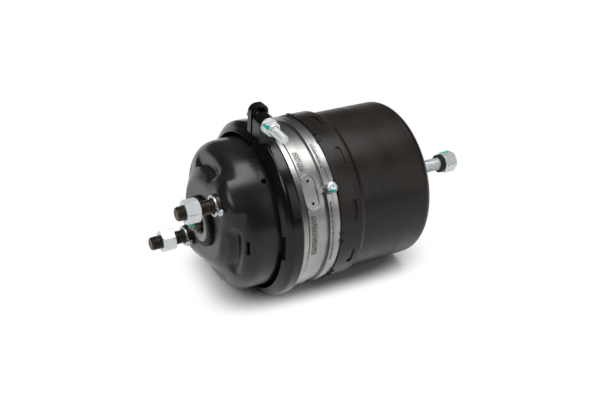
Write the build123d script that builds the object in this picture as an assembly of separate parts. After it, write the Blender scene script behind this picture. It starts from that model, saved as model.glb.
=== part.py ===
"""Air brake chamber: a spring brake actuator of service and spring sections in one housing.

All sizes are in millimetres. The origin is the centre of the mounting plane, where a bracket
meets the collars of the two mounting studs. +X runs along the chamber's axis towards the release
bolt, +Z is up as the chamber lies, and angles are measured round the axis from +Z towards -Y.
The spring brake is shown caged: the release bolt is drawn out and holds the spring compressed.
"""
from build123d import *
import math
import os

# Running and seating clearances
SLIDE_FIT = 0.05
SEAT_GAP = 0.1
SOFT_GAP = 0.3

# Mounting studs, nuts and tab washers
STUD_CENTRES = 120.65
STUD_ANGLE = 43.27
STUD_D = 16.0
STUD_THREAD_D = 15.6
STUD_SHANK = 14.2
STUD_REACH = 43.0
STUD_CHAMFER = 1.6
COLLAR_D = 25.0
COLLAR_HEIGHT = 4.5
STUD_HEAD_D = 25.0
STUD_HEAD_HEIGHT = 5.0
NUT_AF = 24.0
NUT_HEIGHT = 16.0
NEAR_NUT_STANDOFF = 18.5
FAR_NUT_STANDOFF = 14.5
WASHER_D = 24.0
WASHER_HOLE_D = 18.3
WASHER_T = 2.0
TAB_WIDTH = 7.0
TAB_REACH = 18.5
TAB_DROP = 3.0
TAB_ANGLE = 88.0

# Service housing, a pressed steel cup with a raised two-stud platform
HOUSING_T = 3.0
CUP_FRONT_DEPTH = 5.0
CUP_NOSE_R = 54.0
SHOULDER_DEPTH = 20.1
SHOULDER_R = 86.0
SHOULDER_BEND = 22.0
CUP_WALL_R = 87.3
CUP_LENGTH = 60.0
FLANGE_R = 99.5
FLANGE_RAKE = 2.0
FLANGE_BEND = 4.0
PLATFORM_MID_R = 48.0
PLATFORM_LOBE_R = 14.5
PLATFORM_SKIRT = 8.5
PLATFORM_FLARE = 14.0
LOBE_MARGIN = 15.18
LOBE_LEAN = 8.0
LOBE_ROOT_LEAN = 3.0
LOBE_BEND = 8.0
NOSE_BEND = 6.0
POCKET_DEPTH = 15.0
POCKET_MID_R = 70.0
POCKET_WIDTH = 19.0
POCKET_SPAN = 38.0
POCKET_OFFSET = 54.0
POCKET_BEND = 4.0
PANEL_BEND = 4.0
DRAIN_HOLE_D = 6.0
DRAIN_HOLE_X = 53.0
DRAIN_HOLE_ANGLE = 38.4
DRAIN_SLOT_LENGTH = 17.0
DRAIN_SLOT_WIDTH = 4.0
DRAIN_SLOT_ANGLE = 86.0
DRAIN_SLOT_R = 79.0

# Front seal, bellows and push rod
SEAL_HOLE_R = 25.5
BOOT_R = 29.5
BOOT_FACE_X = -0.5
BOOT_NECK_R = 20.0
BOOT_BACK_T = 3.0
BOOT_RIB_DEPTH = 0.9
INSERT_R = 22.8
INSERT_HOLE_R = 14.6
INSERT_T = 5.0
ROD_R = 8.0
ROD_TIP_R = 8.5
ROD_TIP_X = -12.0
ROD_TIP_LENGTH = 18.0
ROD_TIP_DOME = 3.0
ROD_COLLAR_R = 12.5
ROD_COLLAR_LENGTH = 6.0
BELLOWS_FOLDS = 8
BELLOWS_T = 1.6
BELLOWS_LENGTH = 52.0
PUSH_PLATE_R = 53.0
PUSH_PLATE_T = 3.0
PUSH_PLATE_RIM = 2.0

# Studs' reinforcement plate inside the housing
STUD_PLATE_T = 5.0
STUD_PLATE_LOBE_R = 13.0
STUD_PLATE_MID_R = 42.0
STUD_PLATE_HOLE_R = 33.0

# Springs and diaphragm
RETURN_WIRE_D = 4.5
RETURN_TURNS = 4.0
RETURN_FRONT_R = 36.0
RETURN_REAR_R = 47.0
POWER_WIRE_D = 13.0
POWER_TURNS = 3.25
POWER_R = 61.0
DIAPHRAGM_T = 3.0
DIAPHRAGM_FLAT_R = 60.0
DIAPHRAGM_ROLL = 18.0
DIAPHRAGM_DISH = 6.8
DIAPHRAGM_BENDS = (7.0, 4.0)
DIAPHRAGM_RIM_R = 98.0

# Clamp band and its bolt
CLAMP_T = 3.0
CLAMP_CLEARANCE = 1.3
CLAMP_LIP_DEPTH = 11.3
CLAMP_LIP_X = 57.5
CLAMP_LIP_RISE = 6.0
CLAMP_LIP_RUN = 3.5
CLAMP_CROWN_X = 66.0
CLAMP_WIDTH = 21.9
CLAMP_REAR_RUN = 1.6
CLAMP_BENDS = (3.0, 5.0, 3.2)
CLAMP_GAP = 4.0
CLAMP_GAP_Y = -12.0
EAR_WIDTH = 21.0
EAR_T = 3.0
FAR_EAR_RISE = 32.2
NEAR_EAR_RISE = 25.7
EAR_FOOT = 8.0
EAR_ROUND = 9.0
EAR_X = 68.5
FAR_EAR_DEPTH = 8.0
NEAR_EAR_DEPTH = 17.0
CLAMP_BOLT_D = 10.0
CLAMP_BOLT_RISE = 16.7
CLAMP_BOLT_TIP_Y = -68.0
CLAMP_BOLT_AF = 16.0
CLAMP_NUT_HEIGHT = 10.0
CLAMP_NUT_FLANGE_D = 19.4
CLAMP_NUT_FLANGE_T = 2.0
CLAMP_NUT_COLLAR_D = 14.0
CLAMP_NUT_COLLAR = 4.0
BAND_NOTCH_ANGLE = 87.5
BAND_NOTCH_SPAN = 18.0
BAND_NOTCH_WIDTH = 2.4

# Cast adapter between the two sections
ADAPTER_FLANGE_X = 74.0
ADAPTER_FLANGE_T = 2.1
FLANGE_SLOPE = 1.6
NECK_R = 95.0
NECK_REAR_R = 97.0
NECK_LENGTH = 8.6
STEP_RUN = 1.0
BAND_R = 98.2
BAND_WIDTH = 11.0
WAIST_R = 96.5
WAIST_WIDTH = 8.8
GROOVE_R = 94.5
GROOVE_WIDTH = 2.6
REAR_BAND_R = 98.6
REAR_BAND_WIDTH = 6.6
LIP_R = 97.4
LIP_END_X = 128.0
WEB_X = 89.0
WEB_T = 10.0
FRONT_CAVITY_R = 84.0
REAR_CAVITY_R = 85.0
HUB_R = 28.0
HUB_END_X = 120.0
HUB_RIBS = 8
HUB_RIB_T = 6.0
HUB_RIB_TAPER = 9.0
SPIGOT_END_X = 155.0
SPIGOT_CHAMFER = 1.5
RECESS_ANGLE = 54.1
RECESS_X = 96.5
RECESS_LENGTH = 37.0
RECESS_WIDTH = 15.0
RECESS_DEPTH = 1.2
RECESS_RIM = 1.6
RECESS_HOLE_D = 3.2
RECESS_HOLE_PITCH = 25.0
VENT_X = 120.0
VENT_BOSS_D = 14.0
VENT_BOSS_RISE = 5.8
VENT_HEAD_D = 12.0
VENT_HEAD_T = 3.4
VENT_SHANK_D = 6.0
VENT_SHANK_LENGTH = 9.0
PORT_ANGLES = (-75.0, -125.0)
PORT_X = 106.5
PORT_BOSS_D = 26.0
PORT_BOSS_RISE = 2.8
PORT_BOSS_INNER_R = 74.0
PORT_BORE_R = 7.25
PORT_DEPTH = 14.0
PORT_PASSAGE_R = 3.5

# Rod tube, its guide bush and seals
TUBE_R = 17.5
TUBE_T = 3.5
BUSH_T = 2.5
BUSH_X = 92.0
BUSH_LENGTH = 12.0
ROD_SEAL_XS = (106.5, 113.5)
ROD_SEAL_WIDTH = 3.5
ROD_SEAL_DEPTH = 3.0
END_CAP_T = 3.0
END_CAP_SPIGOT = 8.0

# Spring can, pressed over the adapter's spigot
CAN_T = 2.5
CAN_RIM_R = 99.0
CAN_RIM_X = 128.3
CAN_STEP_X = 157.0
CAN_STEP_LENGTH = 3.5
CAN_R = 95.0
CAN_END_X = 255.5
CAN_CORNER = 10.0
DENTS = 10
DENT_X = 146.0
DENT_LENGTH = 24.0
DENT_WIDTH = 6.5
DENT_DEPTH = 1.6
DENT_ANGLE = -0.4
TAB_GROUP_ANGLE = 17.6
RIM_TAB_HEIGHT = 1.8
RIM_TAB_WIDTH = 3.0
RIM_TAB_LENGTH = 4.5
RIM_TAB_SPREAD = 2.9
CAN_RING_X = 137.0
CAN_RING_D = 4.2

# Spring piston
PISTON_X = 180.0
PISTON_FLOOR_T = 6.0
PISTON_CUP_R = 78.0
PISTON_CUP_T = 5.0
SKIRT_X = 222.0
SKIRT_LENGTH = 18.0
SKIRT_GAP = 0.4
PISTON_HUB_R = 24.0
PISTON_HUB_LENGTH = 27.0
TUBE_SEAT_DEPTH = 10.0
HUB_SOCKET_R = 13.0
HUB_WALL_T = 7.0
SEAL_WIDTH = 4.5
SEAL_DEPTH = 4.5
GUIDE_WIDTH = 4.0
GUIDE_DEPTH = 2.5
GROOVE_EDGE = 3.0

# Release bolt, drawn out
BOLT_R = 7.84
BOLT_END_X = 334.0
BOLT_COLLAR_R = 12.0
BOLT_COLLAR_LENGTH = 6.4
THRUST_T = 2.1
HEAD_AF = 24.0
HEAD_HEIGHT = 14.0
HEAD_WASHER_R = 12.5
HEAD_WASHER_T = 3.0
BOLT_SEAL_R = 11.5
BOLT_SEAL_T = 5.0
BUSH_BARREL_R = 14.0
BUSH_FLANGE_R = 19.0
BUSH_FLANGE_T = 6.0
BUSH_PROUD = 0.8

# Stations that follow from the sizes above
PANEL_X = COLLAR_HEIGHT
PANEL_BACK_X = PANEL_X + HOUSING_T
CUP_FRONT_X = PANEL_X + CUP_FRONT_DEPTH
CUP_END_X = PANEL_X + CUP_LENGTH
SHOULDER_X = PANEL_X + SHOULDER_DEPTH
POCKET_X = PANEL_X + POCKET_DEPTH
STUD_R = STUD_CENTRES / 2
LOBE_TOP_R = STUD_R + LOBE_MARGIN
LOBE_BASE_R = LOBE_TOP_R + LOBE_LEAN
STUD_HEAD_X = PANEL_BACK_X + STUD_PLATE_T
CLAMP_R = FLANGE_R + CLAMP_T + CLAMP_CLEARANCE
CLAMP_LIP_R = CLAMP_R - CLAMP_LIP_DEPTH
CLAMP_END_X = CLAMP_LIP_X + CLAMP_WIDTH
FAR_EAR_TOP = CLAMP_R + FAR_EAR_RISE
NEAR_EAR_TOP = CLAMP_R + NEAR_EAR_RISE
CLAMP_BOLT_Z = CLAMP_R + CLAMP_BOLT_RISE
NECK_END_X = CLAMP_END_X + NECK_LENGTH
BAND_X = NECK_END_X + STEP_RUN
BAND_END_X = BAND_X + BAND_WIDTH
WAIST_X = BAND_END_X + STEP_RUN
WAIST_END_X = WAIST_X + WAIST_WIDTH
GROOVE_X = WAIST_END_X + STEP_RUN
GROOVE_END_X = GROOVE_X + GROOVE_WIDTH
REAR_BAND_X = GROOVE_END_X + STEP_RUN
REAR_BAND_END_X = REAR_BAND_X + REAR_BAND_WIDTH
LIP_X = REAR_BAND_END_X + STEP_RUN
VENT_BOSS_R = BAND_R + VENT_BOSS_RISE
PORT_BOSS_R = BAND_R + PORT_BOSS_RISE
WEB_END_X = WEB_X + WEB_T
CAN_BORE_R = CAN_R - CAN_T
CAN_RIM_BORE_R = CAN_RIM_R - CAN_T
CAN_END_IN_X = CAN_END_X - CAN_T
SPIGOT_R = CAN_RIM_BORE_R - SEAT_GAP
SKIRT_R = CAN_BORE_R - SKIRT_GAP
SKIRT_END_X = SKIRT_X + SKIRT_LENGTH
HUB_WALL_END_X = PISTON_X + PISTON_HUB_LENGTH
HUB_WALL_X = HUB_WALL_END_X - HUB_WALL_T
TUBE_SEAT_X = PISTON_X + TUBE_SEAT_DEPTH
DIAPHRAGM_X = ADAPTER_FLANGE_X + DIAPHRAGM_DISH
PUSH_PLATE_X = DIAPHRAGM_X - SOFT_GAP - PUSH_PLATE_T
TUBE_FRONT_X = DIAPHRAGM_X + DIAPHRAGM_T + SOFT_GAP
SPRING_SEAT_X = PISTON_X + PISTON_FLOOR_T
BOLT_COLLAR_END_X = HUB_WALL_X - SOFT_GAP - THRUST_T - SOFT_GAP
BOLT_BORE_R = BOLT_R + SLIDE_FIT

# Planes that face the front of the chamber: their own x points at -Y and their own y at +Z
FRONT = Plane(origin=(0, 0, 0), x_dir=(0, -1, 0), z_dir=(-1, 0, 0))


def around(theta, radius, x=0.0):
    """Point at an angle round the axis, measured from +Z towards -Y."""
    turn = math.radians(theta)
    return (x, -radius * math.sin(turn), radius * math.cos(turn))


def outward(theta, radius, x):
    """Plane square to a radius, whose own x runs along the chamber."""
    turn = math.radians(theta)
    return Plane(origin=around(theta, radius, x), x_dir=(1, 0, 0), z_dir=(0, -math.sin(turn), math.cos(turn)))


def turned(corners, radii=None):
    """Solid turned round the axis from closed (x, radius) corners."""
    if radii is None:
        outline = Polyline(*corners, close=True)
    else:
        outline = FilletPolyline(*corners, radius=radii, close=True)
    return revolve(make_face(outline), Axis.X)


def tube(x0, x1, outer, inner):
    """Plain ring on the axis."""
    return turned([(x0, inner), (x1, inner), (x1, outer), (x0, outer)])


def rod(x0, x1, radius, theta=0.0, off=0.0):
    """Round bar parallel to the axis."""
    base = FRONT.offset(-x0) * Pos(off * math.sin(math.radians(theta)), off * math.cos(math.radians(theta)))
    return extrude(base * Circle(radius), amount=-(x1 - x0))


def slab(sketch, x0, x1):
    """Flat piece of a front-view sketch between two stations."""
    return extrude(FRONT.offset(-x0) * sketch, amount=-(x1 - x0))


def crossing(first, second):
    """Where two lines, each given by two points, meet."""
    (x1, y1), (x2, y2) = first
    (x3, y3), (x4, y4) = second
    ax, ay, bx, by = x2 - x1, y2 - y1, x4 - x3, y4 - y3
    share = ((x3 - x1) * by - (y3 - y1) * bx) / (ax * by - ay * bx)
    return (x1 + share * ax, y1 + share * ay)


def inner_skin(path, bends, wall):
    """The same open path and bends, moved by the wall to the right of its run."""
    moved = []
    for (x0, r0), (x1, r1) in zip(path, path[1:]):
        length = math.dist((x0, r0), (x1, r1))
        step = (wall * (r1 - r0) / length, -wall * (x1 - x0) / length)
        moved.append(((x0 + step[0], r0 + step[1]), (x1 + step[0], r1 + step[1])))
    points, radii = [moved[0][0]], []
    for first, second, bend in zip(moved, moved[1:], bends):
        points.append(crossing(first, second))
        (ax, ay), (bx, by), (cx, cy), (dx, dy) = *first, *second
        left = (bx - ax) * (dy - cy) - (by - ay) * (dx - cx) > 0
        radii.append(bend + wall if left else max(bend - wall, 0.0))
    points.append(moved[-1][1])
    return points, radii


def pressed(path, bends, wall):
    """Sheet part turned round the axis: the path is its outer skin, and the wall lies to the right."""
    inner, inner_bends = inner_skin(path, bends, wall)
    corners = path + inner[::-1]
    return turned(corners, [0.0, *bends, 0.0, 0.0, *inner_bends[::-1], 0.0])


def stud_places():
    """Front-view places of the two studs, the near one first."""
    turn = math.radians(STUD_ANGLE)
    near = (STUD_R * math.sin(turn), STUD_R * math.cos(turn))
    return [near, (-near[0], -near[1])]


def two_lobes(middle, lobe):
    """Rhombic outline of arcs and tangents round a middle circle and one circle on each stud."""
    lean = math.degrees(math.acos((middle - lobe) / STUD_R))
    edges = []
    for half, centre in enumerate(stud_places()):
        towards = 90 - STUD_ANGLE + 180 * half
        start = towards + lean
        side = (math.cos(math.radians(start)), math.sin(math.radians(start)))
        far = (math.cos(math.radians(towards + 180 - lean)), math.sin(math.radians(towards + 180 - lean)))
        edges += [
            CenterArc(centre, lobe, towards - lean, 2 * lean),
            Line((centre[0] + lobe * side[0], centre[1] + lobe * side[1]),
                 (middle * side[0], middle * side[1])),
            CenterArc((0, 0), middle, start, 180 - 2 * lean),
            Line((middle * far[0], middle * far[1]),
                 (-centre[0] + lobe * far[0], -centre[1] + lobe * far[1])),
        ]
    return make_face(Wire([edge for line in edges for edge in line.edges()]))


def hexagon(across_flats, x0, x1, chamfer_front=True, chamfer_back=True):
    """Hexagonal prism on the axis with turned corner chamfers."""
    corner = across_flats / math.sqrt(3)
    body = slab(RegularPolygon(across_flats / 2, 6, major_radius=False), x0, x1)
    drop = (corner - across_flats / 2) * math.tan(math.radians(30))
    front = across_flats / 2 if chamfer_front else corner + 1
    back = across_flats / 2 if chamfer_back else corner + 1
    cone = turned([(x0, 0), (x0, front), (x0 + drop, corner + 0.01),
                   (x1 - drop, corner + 0.01), (x1, back), (x1, 0)])
    return body & cone


def housing_form(depth):
    """Filled shape of the service housing's skin, moved inwards by depth."""
    path = [(CUP_FRONT_X, 0), (CUP_FRONT_X, CUP_NOSE_R), (SHOULDER_X, SHOULDER_R),
            (CUP_END_X, CUP_WALL_R), (CUP_END_X + FLANGE_RAKE, FLANGE_R)]
    bends = [NOSE_BEND, SHOULDER_BEND, FLANGE_BEND]
    lobe_rise = (LOBE_BASE_R - LOBE_TOP_R) / PLATFORM_SKIRT
    lobe_path = [(PANEL_X - 2, LOBE_TOP_R - 2 * lobe_rise), (PANEL_X + PLATFORM_SKIRT, LOBE_BASE_R),
                 (CUP_END_X, LOBE_BASE_R + LOBE_ROOT_LEAN)]
    lobe_bend = LOBE_BEND
    if depth:
        path, bends = inner_skin(path, bends, depth)
        lobe_path, (lobe_bend,) = inner_skin(lobe_path, [lobe_bend], depth)
    tail = CUP_END_X + FLANGE_RAKE + HOUSING_T
    if depth:
        corners = path + [(tail + 2, FLANGE_R + 2), (tail + 2, 0)]
        cup = turned(corners, [0.0, *bends, 0.0, 0.0, 0.0])
    else:
        corners = path + [(tail, FLANGE_R), (tail, 0)]
        cup = turned(corners, [0.0, *bends, 0.0, 0.0, 0.0])
    slope = math.hypot(PLATFORM_SKIRT, PLATFORM_FLARE) / PLATFORM_SKIRT
    rate = PLATFORM_FLARE / PLATFORM_SKIRT
    top = (rate - slope) * depth
    base = PLATFORM_FLARE - depth
    base_x = PANEL_X + (PLATFORM_FLARE + (slope - 1) * depth) / rate
    skirt = loft([FRONT.offset(-PANEL_X - depth) * two_lobes(PLATFORM_MID_R + top, PLATFORM_LOBE_R + top),
                  FRONT.offset(-base_x) * two_lobes(PLATFORM_MID_R + base, PLATFORM_LOBE_R + base)],
                  ruled=True)
    skirt = fillet(skirt.faces().sort_by(Axis.X)[0].edges(), PANEL_BEND - depth)
    root = slab(two_lobes(PLATFORM_MID_R + base, PLATFORM_LOBE_R + base),
                base_x, SHOULDER_X + SHOULDER_BEND / 2)
    envelope = turned(lobe_path + [(CUP_END_X, 0), (PANEL_X - 2, 0)], [0.0, lobe_bend, 0.0, 0.0, 0.0])
    form = cup + ((skirt + root) & envelope)
    for side in (STUD_ANGLE - POCKET_OFFSET, STUD_ANGLE + POCKET_OFFSET):
        for theta in (side, side + 180):
            middle = 90 - theta
            arc = CenterArc((0, 0), POCKET_MID_R, middle - POCKET_SPAN / 2, POCKET_SPAN)
            punch = slab(SlotArc(arc, POCKET_WIDTH + 2 * depth), -1.0, POCKET_X + depth)
            form -= fillet(punch.faces().sort_by(Axis.X)[-1].edges(), POCKET_BEND + depth)
    return form


def service_housing():
    """Pressed cup with the two-stud platform, four shoulder pockets, drain hole and drain slot."""
    body = housing_form(0.0) - housing_form(HOUSING_T)
    body -= rod(-1.0, SHOULDER_X, SEAL_HOLE_R)
    for place in stud_places():
        body -= slab(Pos(*place) * Circle(STUD_D / 2 + SEAT_GAP), -1.0, PANEL_BACK_X + 1)
    drain = outward(DRAIN_HOLE_ANGLE, CUP_WALL_R - 10, DRAIN_HOLE_X)
    body -= extrude(drain * Circle(DRAIN_HOLE_D / 2), amount=20)
    slot = SlotOverall(DRAIN_SLOT_LENGTH, DRAIN_SLOT_WIDTH, rotation=90)
    middle = 90 - DRAIN_SLOT_ANGLE
    turn = math.radians(middle)
    body -= slab(Pos(DRAIN_SLOT_R * math.cos(turn), DRAIN_SLOT_R * math.sin(turn)) * Rot(0, 0, middle) * slot,
                 PANEL_X, SHOULDER_X + 12)
    return body


def stud_plate():
    """Rhombic plate inside the panel that carries the studs."""
    plate = slab(two_lobes(STUD_PLATE_MID_R, STUD_PLATE_LOBE_R), PANEL_BACK_X, STUD_HEAD_X)
    plate -= rod(PANEL_BACK_X - 1, STUD_HEAD_X + 1, STUD_PLATE_HOLE_R)
    for place in stud_places():
        plate -= slab(Pos(*place) * Circle(STUD_D / 2 + SEAT_GAP), PANEL_BACK_X - 1, STUD_HEAD_X + 1)
    return plate


def mounting_studs():
    """Two studs with an outer collar, a plain shank, a thread and a head behind the plate."""
    profile = [(-STUD_REACH, 0), (-STUD_REACH, STUD_THREAD_D / 2 - STUD_CHAMFER),
               (-STUD_REACH + STUD_CHAMFER, STUD_THREAD_D / 2), (-STUD_SHANK, STUD_THREAD_D / 2),
               (-STUD_SHANK, STUD_D / 2), (0, STUD_D / 2), (0, COLLAR_D / 2), (COLLAR_HEIGHT, COLLAR_D / 2),
               (COLLAR_HEIGHT, STUD_D / 2), (STUD_HEAD_X, STUD_D / 2), (STUD_HEAD_X, STUD_HEAD_D / 2),
               (STUD_HEAD_X + STUD_HEAD_HEIGHT, STUD_HEAD_D / 2), (STUD_HEAD_X + STUD_HEAD_HEIGHT, 0)]
    stud = turned(profile)
    return [Pos(*around(STUD_ANGLE + turn, STUD_R)) * stud for turn in (0, 180)]


def mounting_nuts():
    """A nut on each stud, spun on as far as the photograph's pair."""
    nuts = []
    for turn, standoff, spin in ((0, NEAR_NUT_STANDOFF, 12), (180, FAR_NUT_STANDOFF, 40)):
        nut = hexagon(NUT_AF, -standoff - NUT_HEIGHT, -standoff)
        nut -= rod(-STUD_REACH, 0, STUD_THREAD_D / 2 + SLIDE_FIT)
        nuts.append(Pos(*around(STUD_ANGLE + turn, STUD_R)) * Rot(spin, 0, 0) * nut)
    return nuts


def tab_washers():
    """A washer against each collar, with one tab bent down over the platform's edge."""
    washers = []
    for turn in (0, 180):
        tongue = Rot(0, 0, 90 - TAB_ANGLE) * Pos(TAB_REACH / 2, 0) * Rectangle(TAB_REACH, TAB_WIDTH)
        ring = Circle(WASHER_D / 2) + tongue
        washer = slab(ring, -WASHER_T, 0) - rod(-WASHER_T - 1, 1, WASHER_HOLE_D / 2)
        leg = Rot(0, 0, 90 - TAB_ANGLE) * Pos(TAB_REACH - WASHER_T / 2, 0) * Rectangle(WASHER_T, TAB_WIDTH)
        washer += slab(leg, -WASHER_T, TAB_DROP)
        washers.append(Pos(*around(STUD_ANGLE + turn, STUD_R)) * washer)
    return washers


def seal_boot():
    """Rubber seal clipped into the panel's hole, with ribs round its outer face."""
    neck = SEAL_HOLE_R - SEAT_GAP
    insert_seat = INSERT_R + SEAT_GAP
    back = PANEL_BACK_X + SEAT_GAP + BOOT_BACK_T
    insert_end = BOOT_FACE_X + INSERT_T + SEAT_GAP
    boot = turned([(BOOT_FACE_X, insert_seat), (BOOT_FACE_X, BOOT_R - 1), (BOOT_FACE_X + 1, BOOT_R),
                   (PANEL_X - SEAT_GAP, BOOT_R), (PANEL_X - SEAT_GAP, neck), (PANEL_BACK_X + SEAT_GAP, neck),
                   (PANEL_BACK_X + SEAT_GAP, neck + 4), (back, neck + 3), (back, BOOT_NECK_R),
                   (insert_end, BOOT_NECK_R), (insert_end, insert_seat)])
    pitch = (PANEL_X - SEAT_GAP - BOOT_FACE_X - 1) / 3
    for k in range(3):
        x = BOOT_FACE_X + 1 + pitch * (k + 0.25)
        boot -= tube(x, x + pitch / 2, BOOT_R + 1, BOOT_R - BOOT_RIB_DEPTH)
    return boot


def seal_ring_insert():
    """Pale ring held in the rubber seal round the push rod."""
    return turned([(BOOT_FACE_X, INSERT_HOLE_R + 1), (BOOT_FACE_X, INSERT_R),
                   (BOOT_FACE_X + INSERT_T, INSERT_R),
                   (BOOT_FACE_X + INSERT_T, INSERT_HOLE_R), (BOOT_FACE_X + 1, INSERT_HOLE_R)])


def rod_bellows():
    """Folded sleeve between the front seal and the push rod's collar."""
    start = PANEL_BACK_X + SEAT_GAP + BOOT_BACK_T + SOFT_GAP
    pitch = BELLOWS_LENGTH / (2 * BELLOWS_FOLDS)
    wide, narrow = SEAL_HOLE_R - 2, ROD_COLLAR_R + SOFT_GAP + BELLOWS_T
    outer = [(start + pitch * k, wide if k % 2 == 0 else narrow) for k in range(2 * BELLOWS_FOLDS)]
    inner = [(x, r - BELLOWS_T) for x, r in outer]
    return turned(outer + inner[::-1])


def push_rod():
    """Rod with a domed tip, a bellows collar and a flared foot for its plate."""
    tip_end = ROD_TIP_X + ROD_TIP_LENGTH
    collar_x = PANEL_BACK_X + BOOT_BACK_T + BELLOWS_LENGTH
    collar_end = collar_x + ROD_COLLAR_LENGTH
    corners = [(ROD_TIP_X, 0), (ROD_TIP_X, ROD_TIP_R - ROD_TIP_DOME), (ROD_TIP_X + ROD_TIP_DOME, ROD_TIP_R),
               (tip_end, ROD_TIP_R), (tip_end, ROD_R), (collar_x, ROD_R), (collar_x, ROD_COLLAR_R),
               (collar_end, ROD_COLLAR_R), (PUSH_PLATE_X, ROD_COLLAR_R + 4), (PUSH_PLATE_X, 0)]
    return turned(corners, [0, 2.5, 2.5, 0, 0, 0, 0, 0, 0, 0])


def push_plate():
    """Plate on the push rod's foot, with its rim turned slightly forwards."""
    rim_x = PUSH_PLATE_X - PUSH_PLATE_RIM
    return turned([(PUSH_PLATE_X, 0), (PUSH_PLATE_X, PUSH_PLATE_R - PUSH_PLATE_T), (rim_x, PUSH_PLATE_R),
                   (rim_x + 1, PUSH_PLATE_R + PUSH_PLATE_T), (PUSH_PLATE_X + PUSH_PLATE_T, PUSH_PLATE_R),
                   (PUSH_PLATE_X + PUSH_PLATE_T, 0)])


def coil(wire, turns, front_x, back_x, front_r, back_r):
    """Helical wire between two faces, its mean radius growing from front to back."""
    length = back_x - front_x - wire
    lean = math.degrees(math.atan2(back_r - front_r, length))
    helix = Helix(pitch=length / turns, height=length, radius=front_r, cone_angle=lean)
    start = helix @ 0
    section = Plane(origin=start, z_dir=helix % 0) * Circle(wire / 2)
    spring = sweep(section, path=helix, is_frenet=True)
    return Pos(front_x + wire / 2, 0, 0) * Rot(0, 90, 0) * spring


def return_spring():
    """Conical spring between the front panel's plate and the push plate."""
    return coil(RETURN_WIRE_D, RETURN_TURNS, STUD_HEAD_X + SOFT_GAP, PUSH_PLATE_X - SOFT_GAP,
                RETURN_FRONT_R, RETURN_REAR_R)


def power_spring():
    """Heavy spring, caged between the piston and the can's end."""
    return coil(POWER_WIRE_D, POWER_TURNS, SPRING_SEAT_X + SOFT_GAP, CAN_END_IN_X - SOFT_GAP,
                POWER_R, POWER_R)


def diaphragm():
    """Rubber diaphragm with its rim between the housing's and the adapter's flanges."""
    rim_x = ADAPTER_FLANGE_X - SEAT_GAP - DIAPHRAGM_T
    path = [(DIAPHRAGM_X, 0), (DIAPHRAGM_X, DIAPHRAGM_FLAT_R), (rim_x, DIAPHRAGM_FLAT_R + DIAPHRAGM_ROLL),
            (rim_x, DIAPHRAGM_RIM_R)]
    return pressed(path, list(DIAPHRAGM_BENDS), DIAPHRAGM_T)


def ear(web_y, depth, top, side):
    """Pressed ear of the band: a web across the bolt with its rim turned towards the band's gap."""
    foot = CLAMP_R - EAR_FOOT
    middle = Plane(origin=(EAR_X, web_y, (foot + top) / 2), x_dir=(1, 0, 0), z_dir=(0, -side, 0))
    outer = RectangleRounded(EAR_WIDTH, top - foot, EAR_ROUND)
    shell = extrude(middle * outer, amount=depth)
    inner = RectangleRounded(EAR_WIDTH - 2 * EAR_T, top - foot - 2 * EAR_T, EAR_ROUND - EAR_T)
    shell -= extrude(middle.offset(EAR_T) * (Pos(0, 0) * inner), amount=depth)
    bolt_plane = Plane(origin=(EAR_X, web_y, CLAMP_BOLT_Z), x_dir=(1, 0, 0), z_dir=(0, -side, 0))
    shell -= extrude(bolt_plane.offset(-1) * Circle(CLAMP_BOLT_D / 2 + 0.3), amount=EAR_T + 2)
    return shell


def clamp_band():
    """V-section band drawn together at the top by one bolt through two ears."""
    path = [(CLAMP_LIP_X, CLAMP_LIP_R), (CLAMP_LIP_X + CLAMP_LIP_RUN, CLAMP_LIP_R + CLAMP_LIP_RISE),
            (CLAMP_CROWN_X, CLAMP_R), (CLAMP_END_X, CLAMP_R),
            (CLAMP_END_X + CLAMP_REAR_RUN, NECK_R + CLAMP_T / 2)]
    band = pressed(path, list(CLAMP_BENDS), CLAMP_T)
    far_y = CLAMP_GAP_Y + CLAMP_GAP / 2 + FAR_EAR_DEPTH
    near_y = CLAMP_GAP_Y - CLAMP_GAP / 2 - NEAR_EAR_DEPTH
    ears = ear(far_y, FAR_EAR_DEPTH, FAR_EAR_TOP, 1) + ear(near_y, NEAR_EAR_DEPTH, NEAR_EAR_TOP, -1)
    ears -= rod(CLAMP_LIP_X - 10, CLAMP_END_X + 20, CLAMP_R - 0.6)
    band += ears
    band -= Pos((CLAMP_LIP_X + CLAMP_END_X) / 2, CLAMP_GAP_Y, CLAMP_R) * Box(60, CLAMP_GAP, 40)
    notch = turned([(CLAMP_LIP_X - 1, CLAMP_LIP_R - 5), (CLAMP_LIP_X + BAND_NOTCH_WIDTH, CLAMP_LIP_R - 5),
                    (CLAMP_LIP_X + BAND_NOTCH_WIDTH, CLAMP_LIP_R + 8), (CLAMP_LIP_X - 1, CLAMP_LIP_R + 8)])
    reach = 2 * CLAMP_R
    spread = reach * math.tan(math.radians(BAND_NOTCH_SPAN / 2))
    wedge = Polygon((0, 0), (reach, -spread), (reach, spread), align=None)
    band -= notch & slab(Rot(0, 0, 90 - BAND_NOTCH_ANGLE) * wedge, CLAMP_LIP_X - 5, CLAMP_LIP_X + 10)
    return band


def along_bolt(y0, y1, sketch):
    """Flat piece across the clamp bolt between two stations along Y."""
    base = Plane(origin=(EAR_X, y0, CLAMP_BOLT_Z), x_dir=(1, 0, 0), z_dir=(0, -1, 0))
    return extrude(base * sketch, amount=y0 - y1)


def clamp_bolt():
    """Screw through both ears, its head on the far side."""
    head_y = CLAMP_GAP_Y + CLAMP_GAP / 2 + FAR_EAR_DEPTH
    head = along_bolt(head_y + 6.4, head_y, RegularPolygon(CLAMP_BOLT_AF / 2, 6, major_radius=False))
    shank = along_bolt(head_y, CLAMP_BOLT_TIP_Y, Circle(CLAMP_BOLT_D / 2))
    shank = chamfer(shank.faces().sort_by(Axis.Y)[0].edges(), 1.2)
    return head + shank


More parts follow.
